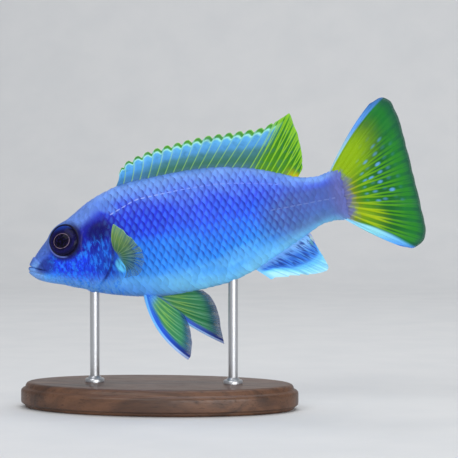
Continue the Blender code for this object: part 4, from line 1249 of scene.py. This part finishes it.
# The tail fin: 16 rays, forked twice, spread from the rounded end of the tail. Its yellow root is
# set under the last scales, and its thin rear edge is a little clear.
CAUDAL_RAYS, CAUDAL_ROWS = 16, 76
CAUDAL_END = (
    (0.979, 0.120), (0.979, 0.096), (1.003, 0.060), (1.013, 0.015), (1.008, -0.030), (0.998, -0.065),
    (0.998, -0.090),
)
CAUDAL_MARGIN = (
    (1.160, 0.272), (1.199, 0.283), (1.227, 0.263), (1.242, 0.187), (1.248, 0.062), (1.252, -0.060),
    (1.253, -0.126), (1.240, -0.167), (1.203, -0.186), (1.161, -0.172),
)
CAUDAL_ROOTS = (0.16, 0.86)
CAUDAL_BOWS = (0.014, -0.010)
CAUDAL_ROOT_DEPTH, CAUDAL_NOTCH = 0.026, 0.0006


def make_caudal_fin():
    places = fin_places(CAUDAL_RAYS, 14)
    share = places / places[-1]
    roots = line_points(CAUDAL_END, between(CAUDAL_ROOTS, share))
    tips = line_points(CAUDAL_MARGIN, share)
    run = tips - roots
    length = np.linalg.norm(run, axis=-1, keepdims=True)
    inward = CAUDAL_ROOT_DEPTH * run / length
    inward[:, 1] += 0.20 * (roots[:, 1] - 0.012)
    notch = CAUDAL_NOTCH * ease(np.abs(off_ray(places)), 0.05, 0.5)
    tips = side_points(tips - notch[:, None] * run / length)
    lean = np.array((-0.3, 0.0, 1.0)) * between(CAUDAL_BOWS, share)[:, None]
    points = ray_lines(side_points(roots - inward), tips, lean, CAUDAL_ROWS)
    sizes = (1.05, 0.30, 0.62, 0.18)
    return fin_piece("caudal_fin", points, places, 1.0, sizes, ray_width=0.30, wave=0.35)


def caudal_middle(place, across, share, ridge):
    """The green web and yellow green rays of the tail fin, golden near the root above and below."""
    web = ramp(share, tones(
        (0.00, 104, 118, 180), (0.10, 120, 124, 120), (0.18, 120, 132, 20), (0.40, 50, 126, 12),
        (0.62, 18, 96, 34), (0.86, 22, 116, 44), (0.96, 20, 92, 58), (1.00, 26, 88, 74),
    ))
    rays = ramp(share, tones(
        (0.00, 110, 126, 180), (0.10, 140, 140, 110), (0.18, 170, 164, 20), (0.40, 118, 170, 6),
        (0.64, 72, 152, 8), (0.88, 36, 130, 34), (1.00, 26, 92, 66),
    ))
    colour = over(web, rays, product(soft(ridge, 0.15, 0.80), soft(across, 0.16, 0.42, 0.22, 1.0)))
    gold_high = zone(place, (0.14, 0.28), (0.33, 0.56))
    colour = over(colour, (142, 180, 0), soft(gold_high, 0.0, 0.80, 0.0, 0.92))
    gold_low = product(zone(place, (0.78, 0.34), (0.16, 0.34)), soft(ridge, 0.1, 0.7, 0.35, 1.0))
    return over(colour, (164, 190, 0), soft(gold_low, 0.0, 0.6, 0.0, 0.9))


def caudal_spots(colour, place, across, share):
    """Columns of soft, pale blue, oval spots on the webs, in the middle of the fin."""
    cells = mapped(place, Location=(-0.32, 0.33, 0.0), Scale=(CAUDAL_RAYS - 1.0, 9.5, 0.0))
    pattern = {"Vector": cells, "Scale": 1.0, "Randomness": 0.36}
    dots = add_node(cells, "TexVoronoi", pattern, voronoi_dimensions="2D").outputs
    chance = add_node(cells, "SeparateColor", {"Color": dots["Color"]}).outputs[0]
    gap = add_node(cells, "VectorMath", {0: cells, 1: dots["Position"]}, operation="SUBTRACT").outputs[0]
    gap = add_node(cells, "VectorMath", {0: gap, 1: (1.45, 0.80, 0.0)}, operation="MULTIPLY").outputs[0]
    gap = add_node(cells, "VectorMath", {0: gap}, operation="LENGTH").outputs["Value"]
    dot = product(soft(gap, 0.42, 0.06), soft(chance, 0.15, 0.75, 0.25, 1.0))
    web_only = soft(attribute(colour, "fin_apart")[1], 0.10, 0.30)
    band = product(soft(share, 0.34, 0.48), soft(share, 0.90, 0.70))
    rows = product(soft(across, 0.10, 0.40), soft(across, 0.74, 0.56))
    shown = product(dot, web_only, product(band, rows))
    return over(colour, (100, 164, 220), soft(shown, 0.0, 0.90, 0.0, 0.88))


def caudal_edges(colour, lie, across, share):
    """The violet root of the tail fin, and the pale blue edges above and below."""
    wander = soft(noise(lie, 60.0, 3.0), 0.3, 0.7, -0.03, 0.03)
    bent = math_node("ADD", math_node("ADD", share, wander), soft(across, 0.36, 0.05, 0.0, 0.08))
    colour = over(colour, (100, 104, 164), soft(bent, 0.29, 0.16, 0.0, 0.92))
    upper = math_node("SUBTRACT", across, product(share, 0.072))
    colour = over(colour, ramp(share, tones(
        (0.00, 140, 176, 224), (0.40, 150, 200, 226), (0.70, 96, 160, 240), (1.00, 60, 120, 190),
    )), soft(upper, 0.018, 0.0, 0.0, 0.95))
    width = product(soft(share, 0.05, 0.50, 0.045, 0.105), soft(share, 1.0, 0.60, 0.80, 1.0))
    lower = soft(math_node("ADD", across, width), 0.985, 1.010, 0.0, 0.97)
    return over(colour, ramp(share, tones(
        (0.00, 140, 200, 250), (0.50, 146, 224, 240), (0.85, 104, 184, 255), (1.00, 70, 140, 230),
    )), lower)


def make_caudal_material():
    material, shader = new_material("tail_fin_paint")
    place, across, share, ridge = attribute(shader, "fin_place")
    lie = attribute(shader, "fin_lie")[0]
    colour = caudal_middle(place, across, share, ridge)
    blotch = noise(lie, 26.0, 3.0, 0.5, 0.5)
    colour = over(colour, (16, 76, 66), product(soft(blotch, 0.50, 0.76, 0.0, 0.25), soft(share, 0.50, 0.72)))
    colour = caudal_edges(caudal_spots(colour, place, across, share), lie, across, share)
    finish_fin(shader, colour, ridge, lie, soft(share, 0.95, 1.0, 1.0, 0.70))
    return material


caudal_fin = make_caudal_fin()
caudal_fin.data.materials.append(make_caudal_material())
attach(caudal_fin, "root")
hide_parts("caudal_fin")

# The pectoral fins: a soft fan of 13 rays behind each gill cover, held out from the side. The front
# rays are olive and yellow, and the web turns clear blue grey towards the rear.
PECTORAL_RAYS, PECTORAL_DEPTH = 13, 0.0012
PECTORAL_ROOT = ((0.296, -0.006), (0.309, -0.052))
PECTORAL_TIPS = (
    (0.328, -0.220, 0.073), (0.358, -0.240, 0.047), (0.382, -0.255, 0.015), (0.406, -0.260, -0.030),
    (0.374, -0.220, -0.091), (0.318, -0.165, -0.095),
)


def paired_points(roots, tips, bow, side, sunk, share, rows):
    """Rows of points of a paired fin. Its tips and bow are given for the left side."""
    reach = line_points(tips, share) * STANDARD_LENGTH
    reach[:, 1] *= -side
    run = reach - roots
    roots = roots - sunk * run / np.linalg.norm(run, axis=-1, keepdims=True)
    return ray_lines(roots, reach, vectors(bow[0], -side * bow[1], bow[2]), rows)


def make_pectoral_fin(side, side_name):
    places = fin_places(PECTORAL_RAYS, 10)
    share = places / places[-1]
    (x0, z0), (x1, z1) = real(PECTORAL_ROOT)
    x, z = between((x0, x1), share), between((z0, z1), share)
    roots = vectors(x, side * half_width_at(x, z), z)
    bow = (0.010 - 0.018 * (1 - ease(share, 0.0, 0.35)), -0.012, 0.0)
    points = paired_points(roots, PECTORAL_TIPS, bow, side, PECTORAL_DEPTH, share, FIN_ROWS)
    sizes = (0.62, 0.24, 0.34, 0.16)
    return fin_piece("pectoral_fin_" + side_name, points, places, 1.0, sizes, ray_width=0.22, wave=0.30)


def make_pectoral_material():
    material, shader = new_material("pectoral_fin_paint")
    _, across, share, ridge = attribute(shader, "fin_place")
    lie = attribute(shader, "fin_lie")[0]
    front = ramp(share, tones(
        (0.00, 84, 146, 196), (0.20, 94, 146, 60), (0.60, 112, 160, 70), (1.00, 96, 156, 128),
    ))
    rear = ramp(share, tones(
        (0.00, 84, 156, 214), (0.18, 62, 124, 78), (0.42, 56, 116, 140), (1.00, 54, 112, 196),
    ))
    colour = over(front, rear, soft(across, 0.18, 0.62))
    light = over((168, 200, 110), (130, 176, 180), soft(across, 0.2, 0.7))
    colour = over(colour, light, soft(ridge, 0.35, 0.95, 0.0, 0.6))
    clear = product(soft(share, 0.25, 0.80), soft(across, 0.10, 0.50))
    web = soft(ridge, 1.0, 0.2, 0.45, 1.0)
    finish_fin(shader, colour, ridge, lie, soft(product(clear, web), 0.0, 1.0, 1.0, 0.20))
    return material


pectoral_material = make_pectoral_material()
for side, side_name in ((-1, "left"), (1, "right")):
    fin = make_pectoral_fin(side, side_name)
    fin.data.materials.append(pectoral_material)
    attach(fin, "root")
    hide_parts("pectoral_fin_" + side_name)

# The pelvic fins: a stout pale leading ray and five feathery soft rays on each side of the belly,
# trailing back and down. They are set into the belly just behind the pectoral fins.
PELVIC_RAYS, PELVIC_ROWS, PELVIC_DEPTH = 6, 60, 0.0014
PELVIC_ROOT = ((0.346, -0.026), (0.378, -0.016))
PELVIC_TIPS = {
    -1: (
        (0.450, -0.112, -0.383), (0.459, -0.106, -0.374), (0.463, -0.095, -0.358), (0.468, -0.080, -0.333),
        (0.468, -0.065, -0.299), (0.458, -0.050, -0.249),
    ),
    1: (
        (0.540, -0.100, -0.371), (0.539, -0.105, -0.322), (0.543, -0.095, -0.286), (0.541, -0.088, -0.248),
        (0.531, -0.080, -0.214), (0.512, -0.074, -0.189),
    ),
}
# The bow of each side's leading ray, and how much it changes to the last ray.
PELVIC_BOWS = {-1: (-0.026, 0.022), 1: (-0.012, 0.0)}


def make_pelvic_fin(side, side_name):
    places = fin_places(PELVIC_RAYS, 22)
    share = places / places[-1]
    (x0, y0), (x1, y1) = real(PELVIC_ROOT)
    x, y = between((x0, x1), share), between((y0, y1), share)
    level = widest_level(x)
    drop = (level - belly(x)) * (1 - (np.abs(y) / half_width(x)) ** BELLY_FULLNESS) ** (1 / BELLY_FULLNESS)
    roots = vectors(x, -side * y, level - drop)
    lead_bow, bow_change = PELVIC_BOWS[side]
    bow = (lead_bow + bow_change * share, -0.008, -0.008 + 0.014 * share**2)
    points = paired_points(roots, PELVIC_TIPS[side], bow, side, PELVIC_DEPTH, share, PELVIC_ROWS)
    sizes = (0.95, 0.26, 0.46, 0.16)
    return fin_piece("pelvic_fin_" + side_name, points, places, 1.0, sizes, ray_width=0.30, wave=0.35)


def make_pelvic_material():
    material, shader = new_material("pelvic_fin_paint")
    _, across, share, ridge = attribute(shader, "fin_place")
    lie = attribute(shader, "fin_lie")[0]
    front_gap = attribute(shader, "fin_apart")[2]
    web = ramp(share, tones(
        (0.00, 104, 174, 244), (0.12, 96, 166, 230), (0.26, 84, 156, 120), (0.40, 70, 146, 84),
        (0.80, 48, 132, 84), (0.93, 28, 92, 104), (1.00, 30, 74, 122),
    ))
    rays = ramp(share, tones(
        (0.00, 110, 176, 244), (0.14, 110, 180, 220), (0.30, 128, 188, 116), (0.54, 120, 180, 92),
        (0.84, 88, 160, 124), (0.95, 56, 110, 168), (1.00, 40, 76, 140),
    ))
    thin = soft(share, 0.50, 0.90, 0.0, 0.45)
    colour = over(web, rays, soft(math_node("SUBTRACT", ridge, thin), 0.25, 0.70))
    gap = math_node("SUBTRACT", front_gap, product(across, 2.0))
    gap = math_node("ADD", gap, soft(share, 0.10, 0.45, 0.8, 0.0))
    deep_blue = ramp(share, tones((0.00, 60, 130, 230), (0.50, 26, 88, 214), (1.00, 14, 38, 116)))
    colour = over(colour, deep_blue, soft(gap, 2.50, 1.20))
    pale = ramp(share, tones(
        (0.00, 112, 190, 255), (0.50, 120, 194, 255), (0.80, 160, 196, 246), (1.00, 136, 150, 196),
    ))
    colour = over(colour, pale, soft(front_gap, 0.88, 0.58, 0.0, 0.96))
    edge = product(soft(share, 0.82, 1.02), soft(ridge, 1.0, 0.1, 0.72, 1.0), soft(front_gap, 0.9, 1.8))
    finish_fin(shader, colour, ridge, lie, soft(edge, 0.0, 1.0, 1.0, 0.50))
    return material


pelvic_material = make_pelvic_material()
for side, side_name in ((-1, "left"), (1, "right")):
    fin = make_pelvic_fin(side, side_name)
    fin.data.materials.append(pelvic_material)
    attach(fin, "root")
    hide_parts("pelvic_fin_" + side_name)

# The stand's base: an oval of dark oiled walnut, turned flat underneath with a small foot, a plain
# edge and a rounded step at the top. The rods are let into it.
BASE_LENGTH, BASE_WIDTH = 0.088, 0.048
# The edge's profile, from the middle of the underside up to the middle of the top: inset and height.
BASE_PROFILE = (
    (1.0, 0.0000), (0.0022, 0.0000), (0.0015, 0.0002), (0.0012, 0.0006), (0.0012, 0.0010), (0.0006, 0.0012),
    (0.0001, 0.0016), (0.0000, 0.0022), (0.0000, 0.0050), (0.0001, 0.0056), (0.0006, 0.0061),
    (0.0012, 0.0063), (0.0014, 0.0066), (0.0015, 0.0071), (0.0019, 0.0077), (0.0026, 0.0080),
    (0.0040, 0.0080), (1.0, 0.0080),
)
BASE_SEGMENTS = 160


def oval_rings(profile, half_length, half_width):
    """Rings of an oval block. An inset of 1 stands for the middle."""
    turns = np.linspace(0.0, 2 * math.pi, BASE_SEGMENTS + 1)
    rings = []
    for inset, height in profile:
        reach = (0.0, 0.0) if inset == 1.0 else (half_length - inset, half_width - inset)
        rings.append(vectors(reach[0] * np.cos(turns), reach[1] * np.sin(turns), height))
    return np.array(rings)


def make_wood_material():
    material, shader = new_material("oiled_walnut")
    spots = object_place(shader)
    rings = noise(mapped(spots, Rotation=(0.10, 0.06, 0.05), Scale=(14.0, 150.0, 90.0)), 1.0, 5.0, 0.6, 1.2)
    pores = noise(mapped(spots, Scale=(160.0, 2600.0, 2600.0)), 1.0)
    browns = tones((0.28, 48, 31, 22), (0.45, 82, 54, 37), (0.58, 104, 70, 48), (0.74, 62, 40, 28))
    colour = ramp(rings, browns, "LINEAR")
    set_inputs(shader, {
        "Base Color": over(colour, (30, 19, 14), soft(pores, 0.60, 0.72, 0.0, 0.55)),
        "Roughness": soft(pores, 0.4, 0.7, 0.42, 0.58),
        "Normal": bumps(pores, 0.25, 0.0001),
        "Coat Weight": 0.12,
    })
    return material


base = grid_piece("stand_base", oval_rings(BASE_PROFILE, BASE_LENGTH / 2, BASE_WIDTH / 2))
close_up(base)
shade(base, 40.0)
base.data.materials.append(make_wood_material())
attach(base, "root")
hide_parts("stand_base")

# The rods: two drawn steel rods, each pushed into the base through a small turned collar and up
# into a blind hole in the belly.
ROD_RADIUS, ROD_SEGMENTS = 0.0015, 40
ROD_PLACES = {"front": (-0.0205, 0.0400), "rear": (0.0235, 0.0450)}
# Radius and height, from the base's top up.
COLLAR_PROFILE = (
    (0.0, 0.0080), (0.0030, 0.0080), (0.0030, 0.0088), (0.0028, 0.0091), (0.0022, 0.0092), (0.0020, 0.0095),
    (0.0018, 0.0098), (0.0015, 0.0099),
)


def make_rod(name, x, top):
    """A rod and its collar as one turned piece."""
    profile = COLLAR_PROFILE + ((ROD_RADIUS, 0.0104), (ROD_RADIUS, top - 0.0004), (0.0011, top), (0.0, top))
    turns = np.linspace(0.0, 2 * math.pi, ROD_SEGMENTS + 1)
    rings = [vectors(x + reach * np.cos(turns), reach * np.sin(turns), height) for reach, height in profile]
    rod = grid_piece(name, np.array(rings))
    close_up(rod)
    shade(rod, 35.0)
    return rod


def make_steel_material():
    material, shader = new_material("brushed_steel")
    lines = noise(mapped(object_place(shader), Scale=(90.0, 90.0, 2600.0)), 1.0)
    set_inputs(shader, {
        "Base Color": (0.56, 0.57, 0.59, 1.0), "Metallic": 1.0,
        "Roughness": soft(lines, 0.3, 0.7, 0.30, 0.44),
        "Normal": bumps(lines, 0.10, 0.00005),
    })
    return material


steel_material = make_steel_material()
for rod_name, (x, top) in ROD_PLACES.items():
    rod = make_rod("stand_rod_" + rod_name, x, top)
    rod.data.materials.append(steel_material)
    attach(rod, "root")
    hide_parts("stand_rod_" + rod_name)

# The studio: a pale seamless sweep that the stand is set on, with three wide soft lights. The
# camera looks almost level at the left side, from a little towards the tail.
BACKDROP_FRONT, BACKDROP_BACK, BACKDROP_RADIUS = -1.2, 0.55, 0.30
BACKDROP_HEIGHT, BACKDROP_HALF_WIDTH = 1.4, 1.8


def backdrop_points(steps=24):
    """The sweep's line from the front edge of the floor, round the bend and up the back."""
    turns = np.linspace(0.0, math.pi / 2, steps)
    bend_y = BACKDROP_BACK + BACKDROP_RADIUS * np.sin(turns)
    bend_z = BACKDROP_RADIUS * (1 - np.cos(turns))
    y = np.concatenate([[BACKDROP_FRONT], bend_y, [bend_y[-1]]])
    z = np.concatenate([[0.0], bend_z, [BACKDROP_HEIGHT]])
    x = np.linspace(-BACKDROP_HALF_WIDTH, BACKDROP_HALF_WIDTH, 5)
    return vectors(x[None, :], y[:, None], z[:, None])


def make_paper_material():
    material, shader = new_material("pale_paper")
    grain = noise(object_place(shader), 40.0, 4.0)
    colour = ramp(grain, ((0.2, (0.70, 0.71, 0.72, 1.0)), (0.8, (0.74, 0.745, 0.75, 1.0))))
    set_inputs(shader, {"Base Color": colour, "Roughness": 0.9})
    return material


sweep = grid_piece("sweep", backdrop_points())
shade(sweep)
sweep.data.materials.append(make_paper_material())

# Name, place, width, height and power of each light.
LIGHTS = (
    ("key", (-0.35, -0.75, 0.75), 0.60, 0.60, 3.0),
    ("fill", (0.40, -0.80, 0.16), 0.80, 0.30, 4.2),
    ("top", (0.10, 0.15, 0.90), 0.60, 0.60, 3.8),
)
MIDDLE = Vector((0.0222, 0.0, 0.0564))
for name, place, width, height, watts in LIGHTS:
    bpy.ops.object.light_add(type="AREA", location=place)
    light = bpy.context.active_object
    light.name = name + "_light"
    light.data.energy = watts
    light.data.shape = "RECTANGLE"
    light.data.size = width
    light.data.size_y = height
    light.rotation_euler = (MIDDLE - Vector(place)).to_track_quat("-Z", "Y").to_euler()
world = bpy.data.worlds.new("studio")
bpy.context.scene.world = world
world.use_nodes = True
world.node_tree.nodes["Background"].inputs["Color"].default_value = (0.92, 0.95, 1.0, 1.0)
world.node_tree.nodes["Background"].inputs["Strength"].default_value = 0.35
bpy.context.scene.view_settings.view_transform = "Standard"

# The photo's width in pixels and a pixel's size at the fish, which set the camera's lens.
PHOTO_PIXELS, PIXEL_SIZE = 458, 0.0003125
CAMERA_AZIMUTH = math.radians(7.0)
CAMERA_ELEVATION = math.radians(2.0)
CAMERA_DISTANCE = 0.60
away = Vector((
    math.sin(CAMERA_AZIMUTH) * math.cos(CAMERA_ELEVATION),
    -math.cos(CAMERA_AZIMUTH) * math.cos(CAMERA_ELEVATION),
    math.sin(CAMERA_ELEVATION),
))
bpy.ops.object.camera_add(location=MIDDLE + away * CAMERA_DISTANCE)
camera = bpy.context.active_object
camera.name = "camera"
camera.rotation_euler = (-away).to_track_quat("-Z", "Y").to_euler()
camera.data.sensor_width = 36.0
camera.data.lens = camera.data.sensor_width * CAMERA_DISTANCE / (PHOTO_PIXELS * PIXEL_SIZE)
camera.data.clip_start = 0.01
bpy.context.scene.camera = camera
